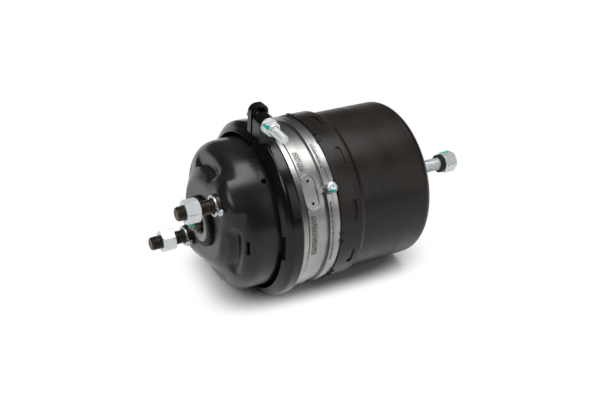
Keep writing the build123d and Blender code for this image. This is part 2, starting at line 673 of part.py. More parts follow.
def clamp_nut():
    """Flange nut against the near ear, with a locking collar round the screw."""
    seat_y = CLAMP_GAP_Y - CLAMP_GAP / 2 - NEAR_EAR_DEPTH
    flange = along_bolt(seat_y, seat_y - CLAMP_NUT_FLANGE_T, Circle(CLAMP_NUT_FLANGE_D / 2))
    face_y = seat_y - CLAMP_NUT_HEIGHT
    body = along_bolt(seat_y, face_y, RegularPolygon(CLAMP_BOLT_AF / 2, 6, major_radius=False))
    collar = along_bolt(face_y, face_y - CLAMP_NUT_COLLAR, Circle(CLAMP_NUT_COLLAR_D / 2))
    bore = along_bolt(seat_y + 1, face_y - CLAMP_NUT_COLLAR - 1, Circle(CLAMP_BOLT_D / 2 + SLIDE_FIT))
    return flange + body + collar - bore


def adapter_shell():
    """Turned form of the casting: flange, neck, bands, lip, spigot, web and hub."""
    flange_end = ADAPTER_FLANGE_X + ADAPTER_FLANGE_T
    outer = [(ADAPTER_FLANGE_X, FLANGE_R), (flange_end, FLANGE_R), (flange_end + FLANGE_SLOPE, NECK_R),
             (CLAMP_END_X, NECK_R), (NECK_END_X, NECK_REAR_R), (BAND_X, BAND_R), (BAND_END_X, BAND_R),
             (WAIST_X, WAIST_R), (WAIST_END_X, WAIST_R), (GROOVE_X, GROOVE_R), (GROOVE_END_X, GROOVE_R),
             (REAR_BAND_X, REAR_BAND_R), (REAR_BAND_END_X, REAR_BAND_R), (LIP_X, LIP_R), (LIP_END_X, LIP_R),
             (LIP_END_X, SPIGOT_R), (SPIGOT_END_X - SPIGOT_CHAMFER, SPIGOT_R),
             (SPIGOT_END_X, SPIGOT_R - SPIGOT_CHAMFER)]
    inner = [(SPIGOT_END_X, REAR_CAVITY_R), (WEB_END_X, REAR_CAVITY_R), (WEB_END_X, HUB_R),
             (HUB_END_X, HUB_R), (HUB_END_X, TUBE_R + SOFT_GAP), (WEB_X - 2, TUBE_R + SOFT_GAP),
             (WEB_X - 2, HUB_R), (WEB_X, HUB_R + 2),
             (WEB_X, FRONT_CAVITY_R), (ADAPTER_FLANGE_X, FRONT_CAVITY_R)]
    radii = [0.0] * len(outer) + [0.0, 6.0, 4.0, 1.0, 0.0, 0.0, 1.0, 0.0, 6.0, 1.5]
    return turned(outer + inner, radii)


def adapter():
    """Casting between the sections, with ribs, ports, plate recess, vent boss and seal grooves."""
    body = adapter_shell()
    rib_length = REAR_CAVITY_R - HUB_R + 2
    rib = extrude(Plane.XY * Polygon((WEB_END_X - 1, HUB_R - 1), (HUB_END_X - 2, HUB_R - 1),
                                     (WEB_END_X + HUB_RIB_TAPER, HUB_R - 1 + rib_length),
                                     (WEB_END_X - 1, HUB_R - 1 + rib_length), align=None), HUB_RIB_T / 2, both=True)
    for k in range(HUB_RIBS):
        body += Rot(k * 360 / HUB_RIBS + 10, 0, 0) * rib
    for theta in PORT_ANGLES:
        boss = extrude(outward(theta, PORT_BOSS_INNER_R, PORT_X) * Circle(PORT_BOSS_D / 2),
                       amount=PORT_BOSS_R - PORT_BOSS_INNER_R)
        body += boss
    boss = outward(RECESS_ANGLE, WAIST_R - 3, VENT_X)
    body += extrude(boss * Circle(VENT_BOSS_D / 2), amount=VENT_BOSS_R - WAIST_R + 3)
    body += extrude(outward(RECESS_ANGLE, WAIST_R - 3, (VENT_X + RECESS_X) / 2) * Rectangle(VENT_X - RECESS_X, 6),
                    amount=BAND_R + 1.4 - WAIST_R + 3)
    body += recess_rim()
    body -= recess_cut()
    first, second = PORT_ANGLES
    for theta in PORT_ANGLES:
        floor = outward(theta, PORT_BOSS_R - PORT_DEPTH, PORT_X)
        body -= extrude(floor * Circle(PORT_BORE_R), amount=PORT_DEPTH + 5)
    passage = outward(first, REAR_CAVITY_R - 5, PORT_X)
    body -= extrude(passage * Circle(PORT_PASSAGE_R), amount=PORT_BOSS_R - REAR_CAVITY_R)
    body -= rod(WEB_X - 3, PORT_X, PORT_PASSAGE_R, first, REAR_CAVITY_R - 5 + PORT_PASSAGE_R / 2)
    body -= extrude(outward(second, PORT_BOSS_INNER_R - 2, PORT_X) * Circle(PORT_PASSAGE_R), amount=20)
    body -= extrude(outward(RECESS_ANGLE, VENT_BOSS_R - VENT_SHANK_LENGTH, VENT_X) * Circle(VENT_SHANK_D / 2 + SLIDE_FIT),
                    amount=VENT_SHANK_LENGTH + 1)
    body -= tube(BUSH_X, BUSH_X + BUSH_LENGTH, TUBE_R + BUSH_T + SLIDE_FIT, TUBE_R - 1)
    for x in ROD_SEAL_XS:
        body -= tube(x, x + ROD_SEAL_WIDTH, TUBE_R + ROD_SEAL_DEPTH + SLIDE_FIT, TUBE_R - 1)
    body -= tube(CAN_RING_X - CAN_RING_D / 2 - 0.5, CAN_RING_X + CAN_RING_D / 2 + 0.5, SPIGOT_R + 2,
                 CAN_RIM_BORE_R - CAN_RING_D - 2 * SLIDE_FIT)
    body -= tube(DENT_X - DENT_WIDTH / 2 - 1.2, DENT_X + DENT_WIDTH / 2 + 1.2, SPIGOT_R + 2,
                 SPIGOT_R - DENT_DEPTH - 0.3)
    return body


def recess_rim():
    """Raised stadium round the recess."""
    pad = SlotOverall(RECESS_LENGTH + 2 * RECESS_RIM, RECESS_WIDTH + 2 * RECESS_RIM, rotation=90)
    return extrude(outward(RECESS_ANGLE, WAIST_R - 6, RECESS_X) * pad, amount=6 + BAND_R - WAIST_R + 0.8)


def recess_cut():
    """Bare stadium recess with its two pin holes."""
    flat = outward(RECESS_ANGLE, BAND_R + 0.8 - RECESS_DEPTH, RECESS_X)
    cut = extrude(flat * SlotOverall(RECESS_LENGTH, RECESS_WIDTH, rotation=90), amount=6)
    for side in (-1, 1):
        spot = Pos(0, side * RECESS_HOLE_PITCH / 2) * Circle(RECESS_HOLE_D / 2)
        cut += extrude(flat.offset(-3) * spot, amount=5)
    return cut


def vent_screw():
    """Pan-head screw in the vent boss, with a cross recess."""
    base = outward(RECESS_ANGLE, VENT_BOSS_R, VENT_X)
    head = extrude(base * Circle(VENT_HEAD_D / 2), amount=VENT_HEAD_T)
    head = fillet(head.edges().group_by(Axis(base.origin, base.z_dir))[-1], 1.8)
    cross = Rectangle(6.0, 1.2) + Rectangle(1.2, 6.0)
    head -= extrude(base.offset(VENT_HEAD_T - 1.6) * cross, amount=3)
    return head + extrude(base * Circle(VENT_SHANK_D / 2), amount=-(VENT_SHANK_LENGTH - 1))


def rod_guide_bush():
    """Plain bush in the adapter's hub that guides the rod tube."""
    return tube(BUSH_X, BUSH_X + BUSH_LENGTH, TUBE_R + BUSH_T, TUBE_R + SLIDE_FIT)


def rod_seals():
    """Two lip rings in the adapter's hub."""
    return [tube(x, x + ROD_SEAL_WIDTH, TUBE_R + ROD_SEAL_DEPTH, TUBE_R + SLIDE_FIT) for x in ROD_SEAL_XS]


def can_o_ring():
    """Ring that seals the can on the adapter's spigot."""
    section = Pos(CAN_RING_X, CAN_RIM_BORE_R - SLIDE_FIT - CAN_RING_D / 2) * Circle(CAN_RING_D / 2)
    return revolve(section, Axis.X)


def spring_can():
    """Deep-drawn can with a rolled rim, a row of crimp dents and pairs of small rim tabs."""
    path = [(CAN_RIM_X, CAN_RIM_R), (CAN_STEP_X, CAN_RIM_R),
            (CAN_STEP_X + CAN_STEP_LENGTH, CAN_R), (CAN_END_X, CAN_R),
            (CAN_END_X, BUSH_BARREL_R + SLIDE_FIT)]
    can = pressed(path, [3.0, 3.0, CAN_CORNER], CAN_T)
    stadium = SlotOverall(DENT_LENGTH, DENT_WIDTH, rotation=90)
    pin_inner = CAN_RIM_BORE_R - DENT_DEPTH
    floor = tube(DENT_X - 10, DENT_X + 10, CAN_RIM_BORE_R + 0.5, pin_inner)
    hollow = tube(DENT_X - 10, DENT_X + 10, CAN_RIM_R + 2, CAN_RIM_R - DENT_DEPTH)
    step = 360 / DENTS
    for k in range(DENTS):
        theta = DENT_ANGLE + step * k
        can += floor & extrude(outward(theta, pin_inner - 6, DENT_X) * stadium, amount=10)
        can -= hollow & extrude(outward(theta, pin_inner - 6, DENT_X) * stadium, amount=16)
        for side in (-1, 1):
            spot = outward(TAB_GROUP_ANGLE + step * k + side * RIM_TAB_SPREAD, CAN_RIM_R - 1,
                           CAN_RIM_X + RIM_TAB_WIDTH / 2)
            can += extrude(spot * Rectangle(RIM_TAB_WIDTH, RIM_TAB_LENGTH), amount=1 + RIM_TAB_HEIGHT)
    return can


def release_bush():
    """Threaded bush in the can's end that the release bolt turns in."""
    bush = tube(CAN_END_IN_X - BUSH_FLANGE_T, CAN_END_IN_X, BUSH_FLANGE_R, BOLT_BORE_R)
    return bush + tube(CAN_END_IN_X - 1, CAN_END_X + BUSH_PROUD, BUSH_BARREL_R, BOLT_BORE_R)


def piston():
    """Deep cup piston with a sealing skirt, a hub for the rod tube and a wall for the bolt's collar."""
    corners = [(PISTON_X, TUBE_R), (PISTON_X, PISTON_CUP_R), (SKIRT_X, PISTON_CUP_R), (SKIRT_X, SKIRT_R),
               (SKIRT_END_X, SKIRT_R), (SKIRT_END_X, PISTON_CUP_R - PISTON_CUP_T),
               (SPRING_SEAT_X, PISTON_CUP_R - PISTON_CUP_T), (SPRING_SEAT_X, PISTON_HUB_R),
               (HUB_WALL_END_X, PISTON_HUB_R), (HUB_WALL_END_X, BOLT_R + SOFT_GAP),
               (HUB_WALL_X, BOLT_R + SOFT_GAP),
               (HUB_WALL_X, HUB_SOCKET_R), (TUBE_SEAT_X, HUB_SOCKET_R), (TUBE_SEAT_X, TUBE_R)]
    body = turned(corners, [0, 7.0, 3.0, 0, 1.0, 1.0, 3.0, 3.0, 2.0, 0, 0, 0, 0, 0])
    body -= tube(SKIRT_END_X - GROOVE_EDGE - SEAL_WIDTH, SKIRT_END_X - GROOVE_EDGE, SKIRT_R + 2,
                 SKIRT_R - SEAL_DEPTH)
    body -= tube(SKIRT_X + GROOVE_EDGE, SKIRT_X + GROOVE_EDGE + GUIDE_WIDTH, SKIRT_R + 2,
                 SKIRT_R - GUIDE_DEPTH)
    return body


def piston_seal():
    """Lip seal in the skirt's rear groove."""
    return tube(SKIRT_END_X - GROOVE_EDGE - SEAL_WIDTH, SKIRT_END_X - GROOVE_EDGE, CAN_BORE_R - SLIDE_FIT,
                SKIRT_R - SEAL_DEPTH)


def piston_guide_ring():
    """Plastic guide ring in the skirt's front groove."""
    return tube(SKIRT_X + GROOVE_EDGE, SKIRT_X + GROOVE_EDGE + GUIDE_WIDTH, CAN_BORE_R - SLIDE_FIT,
                SKIRT_R - GUIDE_DEPTH)


def rod_tube():
    """Tube from the piston's hub through the adapter."""
    return tube(TUBE_FRONT_X + END_CAP_T, TUBE_SEAT_X, TUBE_R, TUBE_R - TUBE_T)


def rod_end_cap():
    """Plug with a pressure face in the tube's front end."""
    cap_end = TUBE_FRONT_X + END_CAP_T
    return turned([(TUBE_FRONT_X, 0), (TUBE_FRONT_X, TUBE_R - 1), (TUBE_FRONT_X + 1, TUBE_R),
                   (cap_end, TUBE_R),
                   (cap_end, TUBE_R - TUBE_T), (cap_end + END_CAP_SPIGOT, TUBE_R - TUBE_T),
                   (cap_end + END_CAP_SPIGOT, 0)])


def release_bolt():
    """Long bolt on the axis, with an inner collar that draws the piston back and a hexagon head."""
    washer_x = BOLT_END_X + BOLT_SEAL_T
    head_x = washer_x + HEAD_WASHER_T
    bar = turned([(BOLT_COLLAR_END_X - BOLT_COLLAR_LENGTH, 0),
                  (BOLT_COLLAR_END_X - BOLT_COLLAR_LENGTH, BOLT_COLLAR_R),
                  (BOLT_COLLAR_END_X, BOLT_COLLAR_R), (BOLT_COLLAR_END_X, BOLT_R), (washer_x, BOLT_R),
                  (washer_x, HEAD_WASHER_R), (head_x, HEAD_WASHER_R), (head_x, 0)])
    return bar + Rot(8, 0, 0) * hexagon(HEAD_AF, head_x - 0.5, head_x + HEAD_HEIGHT, chamfer_front=False)


def release_bolt_seal():
    """Rubber ring under the bolt's head that seals the can when the bolt is home."""
    return tube(BOLT_END_X, BOLT_END_X + BOLT_SEAL_T, BOLT_SEAL_R, BOLT_R + SLIDE_FIT)


def thrust_washer():
    """Washer between the bolt's collar and the piston's hub wall."""
    end = BOLT_COLLAR_END_X + SOFT_GAP + THRUST_T
    return tube(end - THRUST_T, end, HUB_SOCKET_R - SOFT_GAP, BOLT_R + SOFT_GAP)


SUB_PARTS = {
    "service_housing": service_housing,
    "stud_plate": stud_plate,
    "mounting_studs": mounting_studs,
    "mounting_nuts": mounting_nuts,
    "tab_washers": tab_washers,
    "seal_boot": seal_boot,
    "seal_ring_insert": seal_ring_insert,
    "rod_bellows": rod_bellows,
    "push_rod": push_rod,
    "push_plate": push_plate,
    "return_spring": return_spring,
    "diaphragm": diaphragm,
    "clamp_band": clamp_band,
    "clamp_bolt": clamp_bolt,
    "clamp_nut": clamp_nut,
    "adapter": adapter,
    "vent_screw": vent_screw,
    "rod_guide_bush": rod_guide_bush,
    "rod_seals": rod_seals,
    "can_o_ring": can_o_ring,
    "spring_can": spring_can,
    "release_bush": release_bush,
    "power_spring": power_spring,
    "piston": piston,
    "piston_seal": piston_seal,
    "piston_guide_ring": piston_guide_ring,
    "rod_tube": rod_tube,
    "rod_end_cap": rod_end_cap,
    "release_bolt": release_bolt,
    "release_bolt_seal": release_bolt_seal,
    "thrust_washer": thrust_washer,
}


def main():
    """Build every sub-part and write one STEP file for each."""
    os.makedirs("parts", exist_ok=True)
    for name, make in SUB_PARTS.items():
        made = make()
        solids = [s for piece in made for s in piece.solids()] if isinstance(made, list) else made.solids()
        export_step(Compound(children=list(solids)) if len(solids) > 1 else solids[0], f"parts/{name}.step")


if __name__ == "__main__":
    main()
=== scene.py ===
"""Studio looks of the air brake chamber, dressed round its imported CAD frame.

Fields and arguments are in millimetres and degrees, and Blender's objects in metres, in the CAD
model's frame: its origin is in the middle of the mounting plane, +X runs along the axis towards the
release bolt and +Z is up as the chamber lies. Stations are places along X, and angles round the axis
go from +Z towards -Y, the camera's side.
"""

import functools
import logging
import math
import random
from dataclasses import dataclass, replace
from enum import Enum

import bmesh
import bpy
from mathutils import Matrix, Quaternion, Vector

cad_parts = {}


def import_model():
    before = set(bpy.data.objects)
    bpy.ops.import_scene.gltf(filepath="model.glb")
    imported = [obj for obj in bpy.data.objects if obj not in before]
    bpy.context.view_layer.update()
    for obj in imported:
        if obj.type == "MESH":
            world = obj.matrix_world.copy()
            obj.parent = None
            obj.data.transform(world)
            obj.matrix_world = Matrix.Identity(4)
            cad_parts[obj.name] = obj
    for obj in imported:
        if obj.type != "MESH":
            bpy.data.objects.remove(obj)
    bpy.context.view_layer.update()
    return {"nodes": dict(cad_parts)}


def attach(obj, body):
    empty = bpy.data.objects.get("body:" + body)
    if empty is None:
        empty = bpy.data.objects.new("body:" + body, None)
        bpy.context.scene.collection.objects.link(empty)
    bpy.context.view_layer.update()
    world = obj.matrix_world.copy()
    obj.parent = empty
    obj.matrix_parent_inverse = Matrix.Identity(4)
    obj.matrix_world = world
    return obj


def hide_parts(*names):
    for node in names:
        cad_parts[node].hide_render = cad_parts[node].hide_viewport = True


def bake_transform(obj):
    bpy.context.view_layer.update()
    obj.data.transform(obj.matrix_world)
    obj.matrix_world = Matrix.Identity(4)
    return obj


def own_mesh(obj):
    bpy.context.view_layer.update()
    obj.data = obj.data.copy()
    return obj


MM = 0.001
# Corners nearer to each other than this are one, and corners nearer to a cut than that are on it
WELD = 0.002
ON_CUT = 0.0001
# The near stud's angle round the axis, and both studs' distance from it
STUD_ANGLE = 43.27
STUD_RADIUS = 60.325
# Noise values between which the colour and the roughness of a surface drift
COLOUR_DRIFT = (0.35, 0.65)
ROUGHNESS_DRIFT = (0.3, 0.7)
# Paint marks: bristles for each millimetre, distances where the paint ends and covers, roughness
BRISTLES = 0.7
MARK_EDGE = (1.55, 1.4)
MARK_ROUGHNESS = 0.38

Shape = bmesh.types.BMesh
Socket = bpy.types.NodeSocket
Look = dict[str, object]
Triple = tuple[float, float, float]
Profile = list[tuple[float, float]]
log = logging.getLogger("air_brake_chamber")


class Body(Enum):
    """The moving bodies of the chamber, as the CAD names them."""

    CHAMBER = "chamber"
    PUSH_ROD = "push_rod_unit"
    PISTON = "spring_piston"
    RELEASE = "release_screw"


def linear(code: str) -> tuple[float, float, float, float]:
    """Turns an sRGB hex colour into linear light.

    Args:
        code: colour such as "#1C1C1D".

    Returns:
        Linear red, green, blue and an alpha of 1.
    """
    channels = [int(code[start:start + 2], 16) / 255 for start in (1, 3, 5)]
    lit = [c / 12.92 if c <= 0.04045 else ((c + 0.055) / 1.055) ** 2.4 for c in channels]
    return (*lit, 1.0)


@dataclass(frozen=True)
class Graph:
    """A node tree, with short ways to add the nodes that the materials repeat.

    Attributes:
        tree: the node tree.
    """

    tree: bpy.types.NodeTree

    @classmethod
    def of(cls, owner: bpy.types.Material | bpy.types.World) -> "Graph":
        """Empties the node tree of a material or a world, and opens it.

        Args:
            owner: what the tree belongs to.

        Returns:
            The empty graph.
        """
        owner.use_nodes = True
        owner.node_tree.nodes.clear()
        return cls(owner.node_tree)

    def add(self, kind: str, inputs: dict | None = None, **settings) -> bpy.types.Node:
        """Adds a node with its settings, and gives its inputs values or links.

        Args:
            kind: Blender's name of the node type, without its "ShaderNode".
            inputs: input name or number to a value, or to the socket that feeds it.
            **settings: properties of the node.

        Returns:
            The new node.
        """
        node = self.tree.nodes.new("ShaderNode" + kind)
        for name, value in settings.items():
            setattr(node, name, value)
        for name, value in (inputs or {}).items():
            if isinstance(value, Socket):
                self.tree.links.new(value, node.inputs[name])
            else:
                node.inputs[name].default_value = value
        return node

    def sum(self, operation: str, *values: Socket | float) -> Socket:
        """Works out a sum of values."""
        return self.add("Math", dict(enumerate(values)), operation=operation).outputs[0]

    def vector(self, operation: str, *values: Socket | Triple) -> Socket:
        """Works out a sum of vectors, whose result is a vector, or a value for LENGTH."""
        node = self.add("VectorMath", dict(enumerate(values)), operation=operation)
        return node.outputs["Value" if operation == "LENGTH" else 0]

    def noise(self, spot: Socket, scale: float, detail: float = 3.0) -> Socket:
        """Adds cloudy noise with this many clouds for each millimetre."""
        return self.add("TexNoise", {"Vector": spot, "Scale": scale, "Detail": detail}).outputs[0]

    def ranged(self, value: Socket, start: float, end: float, low: float = 0.0, high: float = 1.0,
               **settings) -> Socket:
        """Maps the values between start and end onto those between low and high."""
        inputs = {"Value": value, "From Min": start, "From Max": end, "To Min": low, "To Max": high}
        return self.add("MapRange", inputs, **settings).outputs[0]

    def tinted(self, share: Socket, first: Socket | tuple, second: tuple) -> Socket:
        """Mixes two colours, by the share of the second."""
        return self.add("Mix", {0: share, 6: first, 7: second}, data_type="RGBA").outputs[2]

    def between(self, share: Socket, first: Socket | float, second: float) -> Socket:
        """Mixes two values, by the share of the second."""
        return self.add("Mix", {0: share, 2: first, 3: second}).outputs[0]


@dataclass(frozen=True)
class PaintMark:
    """A dab of paint: an inspector's mark on a tight fastener, or painted shade in a small hole.

    Attributes:
        centre: middle of the dab.
        reach: half of its size along X, Y and Z.
        colour: colour of the paint, or of the painted shade.
    """

    centre: Triple
    reach: Triple
    colour: str = "#0FC0B0"


@dataclass(frozen=True)
class Finish:
    """A surface as it was made: its colour drifts in soft patches and its grain catches the light.

    Attributes:
        name: material name.
        slot: material slot of the CAD record; not used.
        base: main colour.
        shade: colour it drifts to.
        roughness: middle roughness.
        swing: how far the roughness drifts either way.
        metallic: share of bare metal.
        ior: refractive index of its coat.
        patch: size of the soft patches.
        grain: size of the finest bumps.
        relief: height of those bumps.
        edge: rounding that every edge shows.
        marks: dabs of paint on it, and of painted shade in its holes.
    """

    name: str
    slot: str
    base: str
    shade: str
    roughness: float
    swing: float = 0.04
    metallic: float = 0.0
    ior: float = 1.5
    patch: float = 25.0
    grain: float = 0.6
    relief: float = 0.006
    edge: float = 0.0
    marks: tuple[PaintMark, ...] = ()

    def pattern(self, graph: Graph, spot: Socket) -> Look:
        """Builds what changes over the surface.

        Args:
            graph: the material's graph.
            spot: place on the object in millimetres.

        Returns:
            Sockets for "Base Color", "Roughness" and "Height".
        """
        cloud = graph.noise(spot, 1 / self.patch, detail=4.0)
        colour = graph.tinted(graph.ranged(cloud, *COLOUR_DRIFT), linear(self.base), linear(self.shade))
        bright, dull = self.roughness - self.swing, self.roughness + self.swing
        rough = graph.ranged(cloud, *ROUGHNESS_DRIFT, bright, dull)
        grain = graph.noise(spot, 1 / self.grain, detail=2.0)
        return {"Base Color": colour, "Roughness": rough, "Height": grain}

    def brush_on(self, graph: Graph, spot: Socket, look: Look) -> None:
        """Lays the dabs of paint, and of painted shade, over the look.

        Args:
            graph: the material's graph.
            spot: place on the object in millimetres.
            look: sockets of the surface, changed in place.
        """
        look["Metallic"] = self.metallic
        for mark in self.marks:
            apart = graph.vector("SUBTRACT", spot, mark.centre)
            reach = graph.vector("LENGTH", graph.vector("DIVIDE", apart, mark.reach))
            ragged = graph.sum("ADD", reach, graph.noise(spot, BRISTLES))
            paint = graph.ranged(ragged, *MARK_EDGE)
            look["Base Color"] = graph.tinted(paint, look["Base Color"], linear(mark.colour))
            look["Roughness"] = graph.between(paint, look["Roughness"], MARK_ROUGHNESS)
            look["Metallic"] = graph.between(paint, look["Metallic"], 0.0)

    def make(self) -> bpy.types.Material:
        """Makes the material.

        Returns:
            The finished material.
        """
        material = bpy.data.materials.new(self.name)
        graph = Graph.of(material)
        metres = graph.add("TexCoord").outputs["Object"]
        spot = graph.add("VectorMath", {0: metres, "Scale": 1 / MM}, operation="SCALE").outputs[0]
        look = self.pattern(graph, spot)
        self.brush_on(graph, spot, look)
        bumps = {"Height": look.pop("Height"), "Distance": self.relief * MM}
        if self.edge:
            bumps["Normal"] = graph.add("Bevel", {"Radius": self.edge * MM}, samples=6).outputs[0]
        look.update({"IOR": self.ior, "Normal": graph.add("Bump", bumps).outputs[0]})
        graph.add("OutputMaterial", {"Surface": graph.add("BsdfPrincipled", look).outputs[0]})
        return material


@dataclass(frozen=True)
class DrawnSheet(Finish):
    """Coated sheet that was drawn deep, so faint rings run round the chamber's axis.

    Attributes:
        ring: spacing of the drawing rings.
        across: how much longer a ring mark is than it is wide.
        sheen: how far the rings change the roughness either way.
    """

    ring: float = 5.0
    across: float = 40.0
    sheen: float = 0.08

    def pattern(self, graph: Graph, spot: Socket) -> Look:
        """Adds rings round the axis to the roughness.

        Args:
            graph: the material's graph.
            spot: place on the object in millimetres.

        Returns:
            Sockets for "Base Color", "Roughness" and "Height".
        """
        look = super().pattern(graph, spot)
        stretch = (1, 1 / self.across, 1 / self.across)
        along = graph.add("Mapping", {"Vector": spot, "Scale": stretch}).outputs[0]
        rings = graph.ranged(graph.noise(along, 1 / self.ring), *ROUGHNESS_DRIFT, -self.sheen, self.sheen)
        look["Roughness"] = graph.sum("ADD", look["Roughness"], rings)
        return look


@dataclass(frozen=True)
class PebblePatch:
    """A field of coarser pebbled skin on the casting.

    Attributes:
        along: stations where it starts and ends.
        turn: where it starts and ends round the axis.
        radius: radius of the casting there.
    """

    along: tuple[float, float]
    turn: tuple[float, float]
    radius: float


@dataclass(frozen=True)
class BlastedCasting(Finish):
    """Die-cast aluminium, shot-blasted and left bare, with fields of coarser pebbled skin and painted shade
    between its pebbles.

    Attributes:
        fields: where the pebbled skin is.
        pebble: size of the pebbles.
        pebble_relief: their height, as a share of the grain's own.
        hollow_shade: painted shade between the pebbles, darker than the skin.
        hollow_shade_span: distances from a pebble's middle between which the painted shade starts and is
            full.
        fade_along: width of a field's fade along X.
        fade_round: width of its fade round the axis, in radians.
    """

    fields: tuple[PebblePatch, ...] = (
        PebblePatch((90.8, 98.2), (25.5, 40.0), 98.2),
        PebblePatch((90.8, 98.2), (68.5, 97.0), 98.2),
        PebblePatch((115.6, 119.6), (22.0, 42.0), 98.6),
        PebblePatch((115.6, 119.6), (62.0, 106.0), 98.6),
    )
    pebble: float = 1.7
    pebble_relief: float = 8.0
    hollow_shade: str = "#6E6C68"
    hollow_shade_span: tuple[float, float] = (0.2, 0.5)
    fade_along: float = 0.8
    fade_round: float = 0.01

    def step(self, graph: Graph, value: Socket, reach: tuple[float, float], soft: float) -> Socket:
        """Makes a mask that is 1 between two values and fades out at both.

        Args:
            graph: the material's graph.
            value: what is measured.
            reach: where the mask starts and ends.
            soft: width of each fade.

        Returns:
            The mask's socket.
        """
        start, end = reach
        rise = graph.ranged(value, start, start + soft)
        return graph.sum("MULTIPLY", rise, graph.ranged(value, end, end - soft))

    def pattern(self, graph: Graph, spot: Socket) -> Look:
        """Adds the pebbled fields to the relief and paints shade between their pebbles.

        Args:
            graph: the material's graph.
            spot: place on the object in millimetres.

        Returns:
            Sockets for "Base Color", "Roughness" and "Height".
        """
        look = super().pattern(graph, spot)
        x, y, z = graph.add("SeparateXYZ", {0: spot}).outputs
        cells = {"Vector": spot, "Scale": 1 / self.pebble, "Randomness": 1.0}
        pebbles = graph.add("TexVoronoi", cells, feature="SMOOTH_F1").outputs[0]
        turn = graph.sum("ARCTAN2", graph.sum("MULTIPLY", y, -1.0), z)
        for patch in self.fields:
            along = self.step(graph, x, patch.along, self.fade_along)
            circling = self.step(graph, turn, tuple(map(math.radians, patch.turn)), self.fade_round)
            mound = graph.sum("MULTIPLY", graph.sum("MULTIPLY", along, circling), pebbles)
            look["Height"] = graph.sum("MULTIPLY_ADD", mound, self.pebble_relief, look["Height"])
            # Painted shade: the skin is darkened between the pebbles
            painted_shade = graph.ranged(mound, *self.hollow_shade_span)
            look["Base Color"] = graph.tinted(painted_shade, look["Base Color"], linear(self.hollow_shade))
        return look


@functools.cache
def material_of(finish: Finish) -> bpy.types.Material:
    """The finish's material, made once."""
    return finish.make()


# Cathodic dip paint on pressed steel: an even black with a soft gloss and a faint orange peel
HOUSING_PAINT = Finish("dip_paint_pressed_steel", "housing_black", "#1A1817", "#22201E", 0.26, ior=1.40,
                       patch=34.0, grain=1.8, relief=0.010, edge=1.0)
# The same paint on the rolled band, slightly glossier where the rollers burnished the steel
BAND_PAINT = Finish("dip_paint_rolled_band", "band_black", "#0B0A0B", "#100F10", 0.21, swing=0.05, ior=1.38,
                    patch=20.0, grain=1.6, relief=0.010, edge=0.8)
# Powder coat on a deep-drawn can: satin, with fine texture and drawing rings under it
CAN_COAT = DrawnSheet("powder_coat_drawn_can", "can_black", "#191614", "#2A2420", 0.35, swing=0.05, ior=1.36,
                      patch=48.0, grain=0.9, relief=0.012, edge=0.8)
# Die-cast aluminium, shot-blasted: a bright dull skin that glitters finely, with painted shade in the
# recess's two holes and between the pebbles of its fields
CAST_SKIN = BlastedCasting("blasted_die_cast_aluminium", "cast_aluminium", "#AAAAA9", "#979694", 0.33,
                           swing=0.05, metallic=1.0, patch=30.0, grain=0.8, relief=0.020, edge=0.45,
                           # Two near-black dabs of painted shade in the recess's holes
                           marks=(PaintMark((96.5, -70.2, 66.0), (2.0, 2.0, 2.0), "#080808"),
                                  PaintMark((96.5, -84.6, 46.0), (2.0, 2.0, 2.0), "#080808")))
# Bright zinc on forged and rolled fasteners: cold, mirror-like under a thin haze
ZINC = Finish("bright_zinc_fastener", "bright_zinc", "#F6FAFA", "#E8EEEF", 0.28, swing=0.02, metallic=0.5,
              patch=8.0, grain=3.0, relief=0.001)
# Zinc on stamped washers, dulled by the stamping
WASHER_ZINC = Finish("bright_zinc_washer", "washer_zinc", "#D3D6D8", "#B4B8BB", 0.32, metallic=0.8,
                     patch=7.0, grain=3.0, relief=0.002)
# Phosphated and oiled steel: nearly black, with a brown cast in the oil
STUD_STEEL = Finish("phosphated_stud_steel", "stud_steel", "#5C534B", "#3B3530", 0.45, swing=0.08,
                    metallic=0.85, patch=5.0, grain=0.5, relief=0.010, edge=0.3)
# The studs' collars: oxidised black in forging, dry and dull
COLLAR_BLACK = Finish("black_stud_collar", "stud_steel", "#151413", "#1F1D1B", 0.42, patch=6.0, grain=1.0)
# Turned and oiled rod: brownish steel
ROD_STEEL = Finish("turned_oiled_rod", "rod_steel", "#7B6A5C", "#5B4B40", 0.34, swing=0.08, metallic=0.9,
                   patch=5.0, relief=0.008, edge=0.4,
                   marks=(PaintMark((-12.0, -9.0, 1.0), (5.0, 4.5, 2.6)),))
# Cold-rolled steel of the plates and bushes: grey with a dull sheen
PLAIN_STEEL = Finish("cold_rolled_steel", "plain_steel", "#8E8F90", "#777778", 0.36, swing=0.06,
                     metallic=1.0, patch=12.0, grain=0.5, edge=0.3)
# Epoxy on spring wire: thick, smooth and black
SPRING_EPOXY = Finish("epoxy_spring_wire", "spring_steel", "#232326", "#19191B", 0.33, patch=18.0, grain=2.5,
                      relief=0.012)
# Moulded rubber: black, dry and finely frosted
RUBBER = Finish("moulded_black_rubber", "black_rubber", "#080808", "#0D0C0C", 0.60, swing=0.07, patch=9.0,
                relief=0.016, edge=0.4)
# Rubber over fabric: the weave prints through the skin as a coarse grain
DIAPHRAGM_RUBBER = Finish("fabric_reinforced_rubber", "diaphragm_rubber", "#242325", "#1A191A", 0.62,
                          patch=9.0, grain=1.0, relief=0.05)
# Moulded acetal ring: a warm off-white with a soft shine
PALE_ACETAL = Finish("moulded_acetal", "pale_ring", "#E6E6E2", "#D6D5CF", 0.38, patch=8.0, grain=0.8,
                     edge=0.5)
# Moulded polyamide: a plain cream
GUIDE_NYLON = Finish("moulded_polyamide", "guide_plastic", "#D6D0B8", "#C7BF9F", 0.42, patch=10.0)
# Sintered bronze: pores show as a dark speckle
BUSH_BRONZE = Finish("sintered_bronze", "bronze", "#B48F58", "#8A6B3F", 0.40, metallic=1.0, patch=1.2,
                     grain=0.4, relief=0.02)
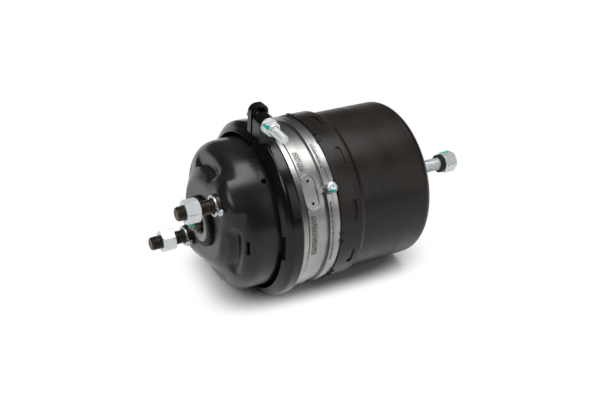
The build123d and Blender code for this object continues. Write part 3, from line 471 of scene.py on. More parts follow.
# Turned aluminium: bright with a light drift
TURNED_ALUMINIUM = Finish("turned_aluminium", "machined_aluminium", "#C9CBCD", "#B7B9BC", 0.30, metallic=1.0,
                          patch=20.0, grain=0.5, edge=0.4)


def around(theta: float, radius: float, x: float = 0.0) -> Vector:
    """Point at an angle round the axis, from +Z towards -Y, in metres."""
    turn = math.radians(theta)
    return Vector((x, -radius * math.sin(turn), radius * math.cos(turn))) * MM


def rotation(axis: str, angle: float) -> Matrix:
    """Turn by an angle about an axis."""
    return Matrix.Rotation(math.radians(angle), 4, axis)


def spun(profile: Profile, steps: int, advance: float = 0.0) -> Shape:
    """Spins a profile once round the chamber's axis.

    Args:
        profile: (x, radius) corners, in order.
        steps: facets round the axis.
        advance: how far the turn moves along X. At 0 the profile and the turn both close.

    Returns:
        The spun shape.
    """
    shape = bmesh.new()
    corners = [shape.verts.new((x * MM, 0, radius * MM)) for x, radius in profile]
    following = corners[1:] if advance else corners[1:] + corners[:1]
    edges = [shape.edges.new(pair) for pair in zip(corners, following)]
    bmesh.ops.spin(shape, geom=corners + edges, cent=(0, 0, 0), axis=(1, 0, 0),
                   dvec=(advance * MM / steps, 0, 0), angle=math.tau, steps=steps, use_merge=not advance,
                   use_duplicate=False)
    bmesh.ops.remove_doubles(shape, verts=shape.verts, dist=WELD * MM)
    return shape


def turned(profile: Profile, start: float = 0.0, steps: int = 96) -> Shape:
    """Turns a closed profile on the chamber's axis.

    Args:
        profile: (x, radius) corners, in order.
        start: station that the profile's x is measured from.
        steps: facets round the axis.

    Returns:
        The turned shape, with its normals outwards.
    """
    shape = spun([(start + x, radius) for x, radius in profile], steps)
    bmesh.ops.recalc_face_normals(shape, faces=shape.faces)
    return shape


def mesh_of(name: str, shape: Shape) -> bpy.types.Mesh:
    """Makes a mesh of a shape.

    Args:
        name: mesh name.
        shape: the shape, which is used up.

    Returns:
        The mesh.
    """
    mesh = bpy.data.meshes.new(name)
    shape.to_mesh(mesh)
    shape.free()
    return mesh


def put(name: str, data: bpy.types.ID) -> bpy.types.Object:
    """Puts a mesh, a lamp or a camera in the scene.

    Args:
        name: object name.
        data: what the object holds.

    Returns:
        The object that holds it.
    """
    holder = bpy.data.objects.new(name, data)
    bpy.context.scene.collection.objects.link(holder)
    return holder


def joined(*shapes: Shape) -> Shape:
    """Puts several shapes into one.

    Args:
        *shapes: the shapes, which are used up.

    Returns:
        One shape that holds them all.
    """
    whole = bmesh.new()
    for shape in shapes:
        carrier = mesh_of("carrier", shape)
        whole.from_mesh(carrier)
        bpy.data.meshes.remove(carrier)
    return whole


def block(low: Triple, high: Triple, rounding: float) -> Shape:
    """Makes a box with rounded edges.

    Args:
        low: its lowest corner.
        high: its highest corner.
        rounding: radius of its edges.

    Returns:
        The closed box.
    """
    shape = bmesh.new()
    bmesh.ops.create_cube(shape, size=1.0)
    for vert in shape.verts:
        vert.co = Vector([(start if side < 0 else end) * MM for side, start, end in zip(vert.co, low, high)])
    bmesh.ops.bevel(shape, geom=shape.edges[:], offset=rounding * MM, segments=3, profile=0.5,
                    affect="EDGES", material=-1)
    return shape


@dataclass(frozen=True)
class Thread:
    """A rolled screw thread on the axis.

    Attributes:
        crest: outer radius.
        pitch: advance in one turn.
        depth: height of its flanks.
        steps: facets of one turn.
    """

    crest: float
    pitch: float
    depth: float
    steps: int = 36

    def bar(self, start: float, end: float, chamfer: float) -> Shape:
        """Makes a threaded bar.

        Args:
            start: station where the thread's free end is.
            end: station where it ends.
            chamfer: chamfer at the free end.

        Returns:
            The bar, closed at both ends.
        """
        root = self.crest - self.depth
        low, high = min(start, end), max(start, end)
        turns = math.ceil((high - low) / self.pitch) + 3
        first = low - 2 * self.pitch
        # Shares of a pitch where each flank starts and ends
        flanks = ((0.06, root), (0.42, self.crest), (0.58, self.crest), (0.94, root))
        places = [(first + (turn + share) * self.pitch, radius)
                  for turn in range(turns) for share, radius in flanks]
        shape = spun(places, self.steps, self.pitch)
        for station, keep_above in ((low, True), (high, False)):
            whole = shape.verts[:] + shape.edges[:] + shape.faces[:]
            bmesh.ops.bisect_plane(shape, geom=whole, dist=ON_CUT * MM, plane_co=(station * MM, 0, 0),
                                   plane_no=(1, 0, 0), clear_inner=keep_above, clear_outer=not keep_above)
        bmesh.ops.holes_fill(shape, edges=[edge for edge in shape.edges if edge.is_boundary], sides=0)
        for vert in shape.verts:
            radius = math.hypot(vert.co.y, vert.co.z) / MM
            limit = self.crest - chamfer + abs(vert.co.x / MM - start)
            if radius > limit:
                vert.co.yz = vert.co.yz * (limit / radius)
        bmesh.ops.recalc_face_normals(shape, faces=shape.faces)
        return shape


@dataclass(frozen=True)
class Hexagon:
    """A forged hexagon, a nut or a head, whose corners are chamfered.

    Attributes:
        flats: width across its flats.
        bore: radius of its hole, or 0.
        front: whether its first face is chamfered.
        back: whether its last face is chamfered.
        chamfer: angle between each chamfer and its face.
        face: radius of each face, as a share of half the flats.
        rows: rows of corners down each chamfer.
        facets: facets round it.
    """

    flats: float
    bore: float = 0.0
    front: bool = True
    back: bool = True
    chamfer: float = 30.0
    face: float = 0.985
    rows: int = 6
    facets: int = 72

    def form(self, start: float, end: float, spin: float) -> Shape:
        """Makes the hexagon on the axis.

        Args:
            start: station of its first face.
            end: station of its last face.
            spin: its turn round the axis.

        Returns:
            The closed shape.
        """
        half = self.flats / 2
        corner = self.flats / math.sqrt(3)
        incline = math.tan(math.radians(self.chamfer))
        drop = (corner - half) * incline
        slope = 1 / incline
        rows = [share / self.rows * drop for share in range(self.rows + 1)]
        stations = [start + row for row in rows] + [end - row for row in reversed(rows)]
        face = half * self.face
        lip = min(1.0, self.flats * 0.04)
        inner = [(end, 0.0), (start, 0.0)]
        if self.bore:
            inner = [(end, self.bore + lip), (end - lip, self.bore), (start + lip, self.bore),
                     (start, self.bore + lip)]
        outer = [(start, face)] + [(x, corner) for x in stations] + [(end, face)]
        shape = turned(outer + inner, steps=self.facets)
        for vert in shape.verts:
            radius = math.hypot(vert.co.y, vert.co.z) / MM
            if radius < half * 0.99:
                continue
            turn = math.degrees(math.atan2(vert.co.y, vert.co.z)) - spin
            flat = half / math.cos(math.radians((turn + 30) % 60 - 30))
            x = vert.co.x / MM
            front = half + (x - start) * slope if self.front else corner
            back = half + (end - x) * slope if self.back else corner
            vert.co.yz = vert.co.yz * (min(flat, front, back) / radius)
        return shape


@dataclass
class SubAssembly:
    """Shared work of the sub-assemblies: finds CAD nodes, adds pieces and dresses both.

    Attributes:
        nodes: CAD objects by node name.
    """

    nodes: dict[str, bpy.types.Object]

    def dress(self, finish: Finish, *names: str) -> None:
        """Gives CAD nodes their finish.

        Args:
            finish: what they are coated with.
            *names: node names.
        """
        for name in names:
            slots = self.nodes[name].data.materials
            slots.clear()
            slots.append(material_of(finish))
            log.info("dressed %s with %s", name, finish.name)

    def add(self, name: str, shape: Shape, finish: Finish, *replaces: str,
            body: Body | None = Body.CHAMBER, crease: float = 32.0) -> bpy.types.Object:
        """Adds a piece.

        Args:
            name: piece name.
            shape: its form, in place, which is used up.
            finish: what it is coated with.
            *replaces: CAD nodes that it stands for.
            body: what it rides on, or None to leave it on no body.
            crease: angle between faces above which an edge stays sharp.

        Returns:
            The new object.
        """
        mesh = mesh_of(name, shape)
        mesh.shade_smooth()
        mesh.set_sharp_from_angle(angle=math.radians(crease))
        mesh.materials.append(material_of(finish))
        piece = put(name, mesh)
        if body:
            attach(piece, body.value)
        if replaces:
            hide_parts(*replaces)
        log.info("added %s with %s, %d faces", name, finish.name, len(mesh.polygons))
        return piece

    def merged_copy(self, name: str) -> Shape:
        """Copies a CAD node and joins its loose triangles.

        Args:
            name: node name.

        Returns:
            The joined copy.
        """
        shape = bmesh.new()
        shape.from_mesh(self.nodes[name].data)
        bmesh.ops.remove_doubles(shape, verts=shape.verts, dist=WELD * MM)
        return shape

    def stand_in(self, name: str, node: str, finish: Finish,
                 body: Body | None = Body.CHAMBER) -> bpy.types.Object:
        """Adds a joined copy of a CAD node in its place."""
        return self.add(name, self.merged_copy(node), finish, node, body=body)


@dataclass(frozen=True)
class Opening:
    """An opening pierced through sheet: a round hole, or a slot with round ends.

    Attributes:
        angle: turn of its middle round the axis.
        radius: distance of its middle from the axis.
        x: station of its middle.
        width: its width.
        reach: how far its punch goes either way.
        straight: half the distance between the middles of a slot's ends.
        axial: whether it is pierced along X, with the slot round the axis, or outwards.
        slack: how far from its edge a corner may be to count as its rim.
    """

    angle: float
    radius: float
    x: float
    width: float
    reach: float
    straight: float = 0.0
    axial: bool = False
    slack: float = 0.05

    def place(self) -> Matrix:
        """Its place, with Z along the punch and X along the slot."""
        place = Matrix.Translation(around(self.angle, self.radius, self.x)) @ rotation("X", self.angle)
        return place @ rotation("X", 90) @ rotation("Y", 90) if self.axial else place

    def rim(self, shape: Shape) -> list[bmesh.types.BMVert]:
        """Finds the corners of the sheet that lie round the opening.

        Args:
            shape: the sheet.

        Returns:
            Those corners.
        """
        back = self.place().inverted()
        found = []
        for vert in shape.verts:
            x, y, z = (back @ vert.co) / MM
            off = math.hypot(max(abs(x) - self.straight, 0.0), y)
            if abs(off - self.width / 2) < self.slack and abs(z) < self.reach:
                found.append(vert)
        return found

    def punch(self) -> Shape:
        """Makes the opening's punch: a rod, or two rods and all that lies between them.

        Returns:
            The punch, in place.
        """
        shape = bmesh.new()
        radius = self.width / 2 * MM
        for side in (-self.straight, self.straight):
            bmesh.ops.create_cone(shape, cap_ends=True, segments=28, radius1=radius, radius2=radius,
                                  depth=2 * self.reach * MM,
                                  matrix=self.place() @ Matrix.Translation((side * MM, 0, 0)))
        bmesh.ops.delete(shape, geom=shape.edges, context="EDGES_FACES")
        bmesh.ops.convex_hull(shape, input=shape.verts, use_existing_faces=False)
        inside = [vert for vert in shape.verts if not vert.link_faces]
        bmesh.ops.delete(shape, geom=inside, context="VERTS")
        bmesh.ops.recalc_face_normals(shape, faces=shape.faces)
        return shape


@dataclass
class ServiceHousing(SubAssembly):
    """The pressed cup: its platform, skirt and pockets flow into each other as drawn sheet does.

    Attributes:
        voxel: corner spacing of the even mesh.
        flank_passes: first smoothing rounds, over the flanks.
        soft_passes: next ones, over all that was drawn.
        light_passes: last ones, over the whole cup.
        pull: how strongly a round smooths what was drawn.
        light_pull: how strongly a last round smooths.
        flank_span: half the angle that a flank takes up.
        flank_radius: distance from the axis where a flank starts.
        soft_end: station where the drawn part ends.
        seal_keep: radius within which the seal's seat stays flat.
        stud_keep: radius within which a stud's seat stays flat.
        openings: the drain slot and the drain hole.
    """

    voxel: float = 1.2
    flank_passes: int = 60
    soft_passes: int = 12
    light_passes: int = 3
    pull: float = 0.5
    light_pull: float = 0.4
    flank_span: float = 36.0
    flank_radius: float = 52.0
    soft_end: float = 46.0
    seal_keep: float = 31.0
    stud_keep: float = 14.5
    openings: tuple[Opening, ...] = (
        Opening(angle=86.0, radius=79.0, x=22.0, width=4.0, reach=14.0, straight=6.5, axial=True),
        Opening(angle=38.4, radius=86.0, x=53.0, width=6.0, reach=6.0),
    )

    def flows(self, point: Vector) -> bool:
        """Tells whether the sheet was drawn here, away from what seats on it.

        Args:
            point: a point of the cup, in metres.

        Returns:
            Whether it may flow.
        """
        x, y, z = point / MM
        if x > self.soft_end or math.hypot(y, z) < self.seal_keep:
            return False
        places = [around(STUD_ANGLE + half, STUD_RADIUS) / MM for half in (0, 180)]
        return all(math.hypot(y - place.y, z - place.z) > self.stud_keep for place in places)

    def on_flank(self, point: Vector) -> bool:
        """Tells whether a point is on the long flank between a stud and the cup's wall.

        Args:
            point: a point of the cup, in metres.

        Returns:
            Whether it is on a flank.
        """
        turn = math.degrees(math.atan2(-point.y, point.z))
        off = abs((turn - STUD_ANGLE + 90) % 180 - 90)
        return off < self.flank_span and math.hypot(point.y, point.z) > self.flank_radius * MM

    def reworked(self, shape: Shape, kind: str, **settings) -> Shape:
        """Runs a modifier on a shape.

        Args:
            shape: form to change, which is used up.
            kind: Blender's name of the modifier.
            **settings: its settings.

        Returns:
            The changed form.
        """
        mesh = mesh_of("cup_copy", shape)
        holder = put("cup_copy", mesh)
        step = holder.modifiers.new(kind, kind)
        for key, value in settings.items():
            setattr(step, key, value)
        graph = bpy.context.evaluated_depsgraph_get()
        changed = bpy.data.meshes.new_from_object(holder.evaluated_get(graph))
        result = bmesh.new()
        result.from_mesh(changed)
        bpy.data.objects.remove(holder)
        bpy.data.meshes.remove(changed)
        bpy.data.meshes.remove(mesh)
        return result

    def build(self) -> None:
        """Remeshes a copy of the CAD cup evenly, lets its drawn corners flow, and pierces it again."""
        copy = self.merged_copy("service_housing")
        for opening in self.openings:
            rim = opening.rim(copy)
            log.info("closed an opening with %d corners", len(rim))
            bmesh.ops.convex_hull(copy, input=rim, use_existing_faces=False)
        shape = self.reworked(copy, "REMESH", mode="VOXEL", voxel_size=self.voxel * MM)
        drawn = [vert for vert in shape.verts if self.flows(vert.co)]
        flank = [vert for vert in drawn if self.on_flank(vert.co)]
        rounds = ((flank, self.flank_passes, self.pull), (drawn, self.soft_passes, self.pull),
                  (shape.verts, self.light_passes, self.light_pull))
        for verts, passes, pull in rounds:
            for _ in range(passes):
                bmesh.ops.smooth_vert(shape, verts=verts, factor=pull, use_axis_x=True, use_axis_y=True,
                                      use_axis_z=True)
        for opening in self.openings:
            tool_mesh = mesh_of("punch", opening.punch())
            tool = put("punch", tool_mesh)
            shape = self.reworked(shape, "BOOLEAN", operation="DIFFERENCE", solver="EXACT", object=tool)
            bpy.data.objects.remove(tool)
            bpy.data.meshes.remove(tool_mesh)
        self.add("pressed_housing", shape, HOUSING_PAINT, "service_housing", crease=50.0)
        self.dress(PLAIN_STEEL, "stud_plate")


@dataclass
class MountingHardware(SubAssembly):
    """Two threaded studs with their collars, nuts and tab washers.

    Attributes:
        reach: how far the studs stand in front of the mounting plane.
        thread_end: how far in front of it their thread ends.
        thread: their thread.
        nut: form of the nuts.
        nut_height: height of the nuts.
        standoffs: how far in front of the mounting plane each nut seats.
        spins: each nut's turn.
        tab_turn: where the washers' tabs point.
    """

    reach: float = 43.0
    thread_end: float = 3.0
    thread: Thread = Thread(crest=8.0, pitch=2.0, depth=1.15)
    nut: Hexagon = Hexagon(24.0, bore=8.05)
    nut_height: float = 16.0
    standoffs: tuple[float, float] = (18.5, 14.5)
    spins: tuple[float, float] = (12.0, 40.0)
    tab_turn: float = 88.0

    def stud(self) -> Shape:
        """Makes a stud on the axis: thread, shank, and the head behind the plate.

        Returns:
            The stud.
        """
        end = -self.thread_end
        bar = self.thread.bar(-self.reach, end, 1.6)
        body = turned([(end - 0.4, 0), (end - 0.4, 7.6), (end, 8.0), (12.5, 8.0), (12.5, 12.5), (17.5, 12.5),
                       (17.5, 0)])
        return joined(bar, body)

    def collar(self) -> Shape:
        """Makes the collar on the axis that the bracket clamps against."""
        return turned([(0, 8.0), (0, 12.1), (0.4, 12.5), (4.5, 12.5), (4.5, 8.0)])

    def washer(self) -> Shape:
        """Makes a stamped washer on the axis, with one tab bent over the platform's edge.

        Returns:
            The washer.
        """
        ring = turned([(-2.0, 9.6), (-2.0, 11.4), (-1.8, 11.8), (-1.4, 12.0), (-0.4, 12.0), (0, 11.7),
                       (0, 9.15), (-1.6, 9.15)])
        tongue = block((-2.0, -3.5, 10.4), (0.0, 3.5, 18.5), 0.6)
        tab = joined(tongue, block((-2.0, -3.5, 16.4), (3.0, 3.5, 18.5), 0.8))
        bmesh.ops.transform(tab, matrix=rotation("X", self.tab_turn), verts=tab.verts)
        return joined(ring, tab)

    def build(self) -> None:
        """Builds the pair of each piece, half a turn apart."""
        sets = []
        for half, standoff, spin in zip((0, 180), self.standoffs, self.spins):
            nut = self.nut.form(-standoff - self.nut_height, -standoff, spin)
            sets.append((self.stud(), nut, self.collar(), self.washer()))
            for shape in sets[-1]:
                place = around(STUD_ANGLE + half, STUD_RADIUS)
                bmesh.ops.translate(shape, verts=shape.verts, vec=place)
        studs, nuts, collars, washers = (joined(*pair) for pair in zip(*sets))
        self.add("threaded_studs", studs, STUD_STEEL, "mounting_studs")
        self.add("chamfered_nuts", nuts, ZINC, "mounting_nuts")
        self.add("stud_collars", collars, COLLAR_BLACK)
        self.add("stamped_tab_washers", washers, WASHER_ZINC, "tab_washers")


@dataclass
class FrontSeal(SubAssembly):
    """Rubber seal with its pale ring and the push rod's tip.

    Attributes:
        face: station of the seal's front.
        back: station where its ribs end.
        outer: radius of the ribs.
        ribs: how many ribs run round it.
    """

    face: float = -0.5
    back: float = 4.4
    outer: float = 29.5
    ribs: int = 4

    def build(self) -> None:
        """Spins the seal with soft ribs and dresses the rod."""
        profile = [(self.face, 22.9), (self.face, 27.6), (self.face + 0.3, 28.4), (self.face + 1.0, 28.9)]
        pitch = (self.back - self.face - 1.0) / self.ribs
        for rib in range(self.ribs):
            start = self.face + 1.0 + rib * pitch
            profile += [(start + 0.15 * pitch, self.outer - 0.8), (start + 0.4 * pitch, self.outer),
                        (start + 0.8 * pitch, self.outer), (start + pitch, self.outer - 0.8)]
        profile += [(self.back, 25.4), (7.6, 25.4), (7.6, 29.2), (8.4, 29.2), (10.6, 28.0), (10.6, 20.0),
                    (4.6, 20.0), (4.6, 22.9)]
        self.add("ribbed_seal", turned(profile, steps=128), RUBBER, "seal_boot")
        self.dress(PALE_ACETAL, "seal_ring_insert")
        self.dress(ROD_STEEL, "push_rod")


@dataclass
class ServiceStroke(SubAssembly):
    """Push plate, return spring, bellows and diaphragm: what gives way as the push rod moves.

    Attributes:
        spring_start: station of the return spring's fixed end; not used.
        bellows_start: station of the bellows' fixed end; not used.
        spring_keep: share of its length that the spring keeps at full stroke; not used.
        bellows_keep: share of its length that the bellows keeps at full stroke; not used.
        rim_x: station where the diaphragm starts to follow the rod; not used.
        dish_x: station where it follows the rod fully; not used.
    """

    spring_start: float = 12.8
    bellows_start: float = 10.9
    spring_keep: float = 0.118
    bellows_keep: float = 0.018
    rim_x: float = 73.9
    dish_x: float = 80.8

    def build(self) -> None:
        """Dresses the push plate and copies the soft and sprung parts as pieces of their own."""
        self.dress(PLAIN_STEEL, "push_plate")
        coil = self.stand_in("coated_return_coil", "return_spring", SPRING_EPOXY)
        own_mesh(coil)
        sleeve = self.stand_in("folded_bellows", "rod_bellows", RUBBER)
        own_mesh(sleeve)
        dish = self.stand_in("rolling_diaphragm", "diaphragm", DIAPHRAGM_RUBBER, body=None)
        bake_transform(dish)


@dataclass
class ClampSet(SubAssembly):
    """V-section band with its bolt and flange nut.

    Attributes:
        x: station of the bolt.
        z: height of the bolt.
        far_seat: where the bolt's head seats, along the bolt.
        near_seat: where the nut seats.
        tip: where the bolt ends.
        thread: its thread.
        marks: dab of paint on the nut.
    """

    x: float = 68.5
    z: float = 120.5
    far_seat: float = -2.0
    near_seat: float = -31.0
    tip: float = -68.0
    thread: Thread = Thread(crest=5.0, pitch=1.5, depth=0.85, steps=32)
    marks: tuple[PaintMark, ...] = (PaintMark((62.6, -38.0, 124.2), (2.8, 7.0, 2.6)),)

    def across(self, shape: Shape) -> Shape:
        """Turns a shape from the chamber's axis to the bolt's, which runs along Y.

        Args:
            shape: the shape, changed in place.

        Returns:
            The same shape.
        """
        place = Matrix.Translation((self.x * MM, 0, self.z * MM)) @ rotation("Z", 90)
        bmesh.ops.transform(shape, matrix=place, verts=shape.verts)
        return shape

    def build(self) -> None:
        """Builds the bolt and its nut, and dresses the band."""
        self.dress(BAND_PAINT, "clamp_band")
        seat = self.near_seat
        bar = self.thread.bar(self.tip, seat + 2, 1.2)
        shank = turned([(seat + 1.5, 0), (seat + 1.5, 4.4), (seat + 2, 5.0), (self.far_seat, 5.0),
                        (self.far_seat, 0)])
        head = Hexagon(16.0, front=False).form(self.far_seat, self.far_seat + 6.4, 0)
        self.add("clamp_screw", self.across(joined(bar, shank, head)), ZINC, "clamp_bolt")
        hexagon = Hexagon(16.0, bore=5.1, back=False).form(seat - 10, seat - 1.6, 18)
        flange = turned([(-2.6, 5.1), (-2.6, 8.4), (-1.7, 9.3), (-1.3, 9.7), (-0.3, 9.7), (0, 9.4),
                         (0, 5.1)], seat)
        collar = turned([(-9.6, 5.1), (-9.6, 7.0), (-13.3, 7.0), (-13.8, 6.7), (-14.0, 6.2), (-13.6, 5.6),
                         (-13.0, 5.1)], seat)
        marked = replace(ZINC, name="bright_zinc_marked_nut", marks=self.marks)
        self.add("flange_nut", self.across(joined(hexagon, flange, collar)), marked, "clamp_nut")


@dataclass
class CastAdapter(SubAssembly):
    """Casting between the sections, with the vent screw and the hub's bush and seals.

    Attributes:
        boss_angle: turn of the vent boss round the axis.
        boss_radius: distance of its face from the axis.
        boss_x: station of its middle.
        lobes: lobes of the screw's star recess.
        lobe_depth: how far it narrows between them, as a share of its radius.
        recess: least height and greatest radius of that recess.
        seed: seed of the pebbles' scatter.
        spacing: distance between pebbles.
        stray: how far each strays from its place, as a share of the spacing.
        dome: least and greatest radius of a pebble.
        dome_height: its height.
        marks: dab of paint on the screw.
    """

    boss_angle: float = 54.1
    boss_radius: float = 104.0
    boss_x: float = 120.0
    lobes: int = 6
    lobe_depth: float = 0.24
    recess: tuple[float, float] = (1.3, 3.0)
    seed: int = 11
    spacing: float = 1.65
    stray: float = 0.22
    dome: tuple[float, float] = (0.5, 0.75)
    dome_height: float = 0.4
    marks: tuple[PaintMark, ...] = (PaintMark((118.0, -89.8, 57.8), (6.8, 3.6, 3.6)),)

    def vent_screw(self) -> Shape:
        """Makes the pan-head screw with its star recess, square on its boss.

        Returns:
            The screw, in place.
        """
        shape = turned([(-9.0, 0), (-9.0, 2.5), (-8.5, 3.0), (0, 3.0), (0, 5.5), (0.4, 6.0), (1.2, 6.0),
                        (2.1, 5.7), (2.8, 5.0), (3.2, 4.1), (3.4, 3.2), (3.4, 2.75), (3.2, 2.6), (1.5, 2.4),
                        (1.2, 0)], steps=72)
        floor, widest = self.recess
        for vert in shape.verts:
            radius = math.hypot(vert.co.y, vert.co.z)
            if vert.co.x > floor * MM and radius < widest * MM:
                turn = math.atan2(vert.co.y, vert.co.z)
                vert.co.yz = vert.co.yz * (1 - self.lobe_depth * (1 - math.cos(self.lobes * turn)) / 2)
        upright = rotation("X", self.boss_angle) @ rotation("Y", -90)
        place = Matrix.Translation(around(self.boss_angle, self.boss_radius, self.boss_x)) @ upright
        bmesh.ops.transform(shape, matrix=place, verts=shape.verts)
        return shape

    def pebbles(self) -> Shape:
        """Scatters low domes of cast skin evenly over the casting's fields, sunk halfway in.

        Returns:
            The pebbles, in place.
        """
        chance = random.Random(self.seed)
        shape = bmesh.new()
        for patch in CAST_SKIN.fields:
            (front, back), (first, last) = patch.along, patch.turn
            rows = round((back - front) / self.spacing)
            columns = round(math.radians(last - first) * patch.radius / self.spacing)
            for row in range(rows):
                for column in range(columns):
                    x = front + (row + 0.5 + chance.uniform(-self.stray, self.stray)) * (back - front) / rows
                    share = (column + 0.5 + chance.uniform(-self.stray, self.stray)) / columns
                    turn = first + share * (last - first)
                    size = chance.uniform(*self.dome)
                    place = Matrix.Translation(around(turn, patch.radius, x)) @ rotation("X", turn)
                    place = place @ Matrix.Diagonal((size, size, self.dome_height, 1.0))
                    bmesh.ops.create_icosphere(shape, subdivisions=2, radius=MM, matrix=place)
        return shape

    def build(self) -> None:
        """Dresses the casting and what it carries, and seats the screw."""
        self.dress(CAST_SKIN, "adapter")
        self.add("cast_pebbles", self.pebbles(), CAST_SKIN, crease=80.0)
        marked = replace(ZINC, name="bright_zinc_marked_screw", marks=self.marks)
        self.add("star_vent_screw", self.vent_screw(), marked, "vent_screw")
        self.dress(BUSH_BRONZE, "rod_guide_bush")
        self.dress(RUBBER, "rod_seals", "can_o_ring")


@dataclass
class SpringSection(SubAssembly):
    """Can, caged spring and piston, and the drawn-out release bolt.

    Attributes:
        collar_start: station where the bolt's collar in the piston starts.
        collar_end: station where it ends and the thread starts.
        neck: station where the thread ends and the smooth neck starts.
        washer: station where the washer face under the head starts.
        head: station of the hexagon's first face.
        head_end: station of its last face.
        thread: the bolt's thread.
        spring_seat: station of the power spring's end on the piston; not used.
        can_floor: station of its end in the can; not used.
        marks: dab of paint on the bolt's head.
    """

    collar_start: float = 190.7
    collar_end: float = 197.1
    neck: float = 331.0
    washer: float = 339.0
    head: float = 342.0
    head_end: float = 356.0
    thread: Thread = Thread(crest=8.0, pitch=2.0, depth=1.15)
    spring_seat: float = 186.3
    can_floor: float = 253.0
    marks: tuple[PaintMark, ...] = (PaintMark((349.0, 8.0, 12.0), (7.0, 6.0, 2.4)),)

    def release_bolt(self) -> Shape:
        """Makes the threaded bar with the piston's collar, the washer face and the head.

        Returns:
            The bolt.
        """
        bar = self.thread.bar(self.collar_end - 0.5, self.neck, 0.0)
        collar = turned([(self.collar_start, 0), (self.collar_start, 11.6), (self.collar_start + 0.4, 12.0),
                         (self.collar_end - 0.4, 12.0), (self.collar_end, 11.6), (self.collar_end, 0)])
        neck = turned([(self.neck - 0.3, 0), (self.neck - 0.3, 6.9), (self.neck + 0.6, 7.8),
                       (self.washer, 7.8), (self.washer, 12.2), (self.washer + 0.3, 12.5),
                       (self.head - 0.6, 12.5), (self.head - 0.1, 11.8), (self.head - 0.1, 0)])
        head = Hexagon(24.0, front=False).form(self.head - 0.2, self.head_end, 8.0)
        return joined(bar, collar, neck, head)

    def build(self) -> None:
        """Builds the release bolt and dresses the can and what it holds."""
        self.dress(CAN_COAT, "spring_can")
        marked = replace(ZINC, name="bright_zinc_marked_bolt", marks=self.marks)
        self.add("threaded_release_bolt", self.release_bolt(), marked, "release_bolt", body=Body.RELEASE)
        self.dress(RUBBER, "release_bolt_seal", "piston_seal")
        self.dress(PLAIN_STEEL, "release_bush", "rod_tube", "rod_end_cap", "thrust_washer")
        coil = self.stand_in("coated_power_coil", "power_spring", SPRING_EPOXY, body=None)
        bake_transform(coil)
        self.dress(TURNED_ALUMINIUM, "piston")
        self.dress(GUIDE_NYLON, "piston_guide_ring")


@dataclass(frozen=True)
class Softbox:
    """A rectangular studio lamp.

    Attributes:
        name: lamp name.
        place: where it stands.
        size: its width and height.
        power: watts.
        aim: point that it faces.
    """

    name: str
    place: Triple
    size: tuple[float, float]
    power: float
    aim: Triple = (150.0, 0.0, 0.0)

    def hang(self) -> None:
        """Puts the lamp in the scene."""
        lamp = bpy.data.lights.new(self.name, "AREA")
        lamp.shape = "RECTANGLE"
        lamp.size, lamp.size_y = (side * MM for side in self.size)
        lamp.energy = self.power
        holder = put(self.name, lamp)
        holder.location = Vector(self.place) * MM
        toward = Vector(self.aim) - Vector(self.place)
        holder.rotation_euler = toward.to_track_quat("-Z", "Y").to_euler()


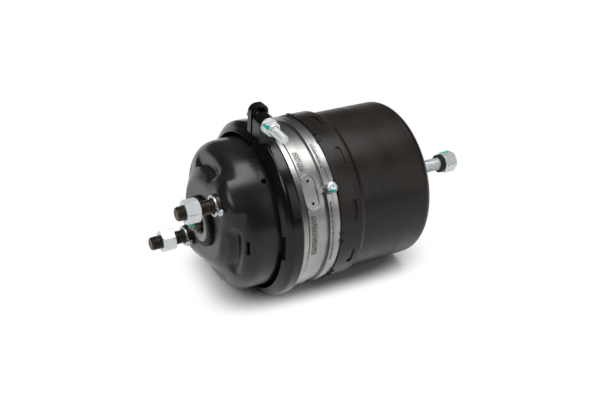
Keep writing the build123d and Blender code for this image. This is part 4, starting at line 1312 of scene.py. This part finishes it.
@dataclass
class Studio:
    """Camera, pale floor and soft light.

    Attributes:
        eye: the camera's place.
        aim: the point in the middle of the picture.
        roll: the camera's turn about its own line of sight.
        lens: focal length.
        sensor: width of the frame.
        clip: nearest and farthest distance that the camera sees, in metres.
        floor_x, floor_z: a point of the floor, under the clamp band.
        floor_rise: the floor's slope along X, because the band is wider than the can.
        floor_size: width of the floor.
        shadow_middle: middle of the patch of floor that takes shadow.
        shadow_turn: its turn about Z.
        shadow_reach: half of its size.
        shadow_start: share of that size where it starts to fade to plain white.
        paper_lift: how white the camera sees the floor.
        paper_bounce: how white it is to the chamber.
        room: colour of the room's light.
        room_strength: strength of that light.
        lamps: the lamps.
    """

    eye: Triple = (-336.0, -783.2, 543.2)
    aim: Triple = (131.22, 0.0, -4.27)
    roll: float = 3.36
    lens: float = 53.53
    sensor: float = 36.0
    clip: tuple[float, float] = (0.01, 50.0)
    floor_x: float = 79.0
    floor_z: float = -103.9
    floor_rise: float = 0.052
    floor_size: float = 9000.0
    shadow_middle: Triple = (154.0, 14.0, -100.0)
    shadow_turn: float = 6.0
    shadow_reach: Triple = (158.0, 92.0, 1000.0)
    shadow_start: float = 0.62
    paper_lift: float = 0.95
    paper_bounce: float = 0.35
    room: str = "#B9BCC0"
    room_strength: float = 0.14
    lamps: tuple[Softbox, ...] = (
        Softbox("top_softbox", (150.0, -40.0, 1150.0), (1100.0, 650.0), 13.5),
        Softbox("left_softbox", (-760.0, -520.0, 860.0), (450.0, 450.0), 3.6, (60.0, 0.0, 0.0)),
        Softbox("right_softbox", (750.0, -1000.0, 600.0), (350.0, 900.0), 1.6),
    )

    def set_camera(self) -> None:
        """Puts the camera where the photograph's stood."""
        lens = bpy.data.cameras.new("photograph_camera")
        lens.lens = self.lens
        lens.sensor_width = self.sensor
        lens.clip_start, lens.clip_end = self.clip
        camera = put("photograph_camera", lens)
        camera.location = Vector(self.eye) * MM
        toward = (Vector(self.aim) - Vector(self.eye)).to_track_quat("-Z", "Y")
        camera.rotation_mode = "QUATERNION"
        camera.rotation_quaternion = toward @ Quaternion((0, 0, 1), math.radians(self.roll))
        bpy.context.scene.camera = camera

    def paper(self) -> bpy.types.Material:
        """Makes white paper: it takes shadow near the chamber, and is plain white further out.

        Returns:
            The finished material.
        """
        material = bpy.data.materials.new("white_paper")
        graph = Graph.of(material)
        middle = tuple(side * MM for side in self.shadow_middle)
        reach = tuple(side * MM for side in self.shadow_reach)
        apart = graph.vector("SUBTRACT", graph.add("TexCoord").outputs["Object"], middle)
        turn = {"Vector": apart, "Angle": math.radians(self.shadow_turn)}
        lined_up = graph.add("VectorRotate", turn, rotation_type="Z_AXIS").outputs[0]
        share = graph.vector("DIVIDE", lined_up, reach)
        out = graph.vector("LENGTH", graph.vector("MULTIPLY", share, share))
        far = graph.ranged(out, self.shadow_start ** 2, 1.0, interpolation_type="SMOOTHSTEP")
        light = graph.add("LightPath").outputs
        seen = graph.sum("MAXIMUM", light["Is Camera Ray"], light["Is Glossy Ray"])
        seen = graph.sum("MAXIMUM", seen, light["Is Transmission Ray"])
        plain = graph.sum("MULTIPLY", seen, far)
        level = graph.ranged(light["Is Camera Ray"], 0.0, 1.0, self.paper_bounce, self.paper_lift)
        sheet = graph.add("BsdfDiffuse", {"Color": level}).outputs[0]
        white = graph.add("Emission", {"Color": linear("#FFFFFF"), "Strength": 1.0}).outputs[0]
        both = graph.add("MixShader", {0: plain, 1: sheet, 2: white}).outputs[0]
        graph.add("OutputMaterial", {"Surface": both})
        return material

    def lay_floor(self) -> None:
        """Lays the floor so that the band and the can's end both rest on it."""
        shape = bmesh.new()
        bmesh.ops.create_grid(shape, x_segments=2, y_segments=2, size=self.floor_size / 2 * MM)
        for vert in shape.verts:
            vert.co.z = (self.floor_z + (vert.co.x / MM - self.floor_x) * self.floor_rise) * MM
        mesh = mesh_of("paper_floor", shape)
        mesh.materials.append(self.paper())
        floor = put("paper_floor", mesh)

    def light_room(self) -> None:
        """Fills the room with a plain soft light and hangs the lamps."""
        world = bpy.data.worlds.new("studio_room")
        bpy.context.scene.world = world
        graph = Graph.of(world)
        walls = graph.add("Background", {"Color": linear(self.room), "Strength": self.room_strength})
        graph.add("OutputWorld", {"Surface": walls.outputs[0]})
        for lamp in self.lamps:
            lamp.hang()

    def build(self) -> None:
        """Sets up the whole studio."""
        self.set_camera()
        self.lay_floor()
        self.light_room()
        bpy.context.scene.view_settings.view_transform = "Standard"


def main() -> None:
    """Builds the studio and dresses each sub-assembly, front to back."""
    logging.basicConfig(level=logging.INFO, format="%(name)s: %(message)s")
    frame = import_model()
    Studio().build()
    nodes = frame["nodes"]
    for sub_assembly in (ServiceHousing, MountingHardware, FrontSeal, ServiceStroke, ClampSet, CastAdapter,
                         SpringSection):
        sub_assembly(nodes).build()
        log.info("finished %s", sub_assembly.__name__)


if __name__ == "__main__":
    main()
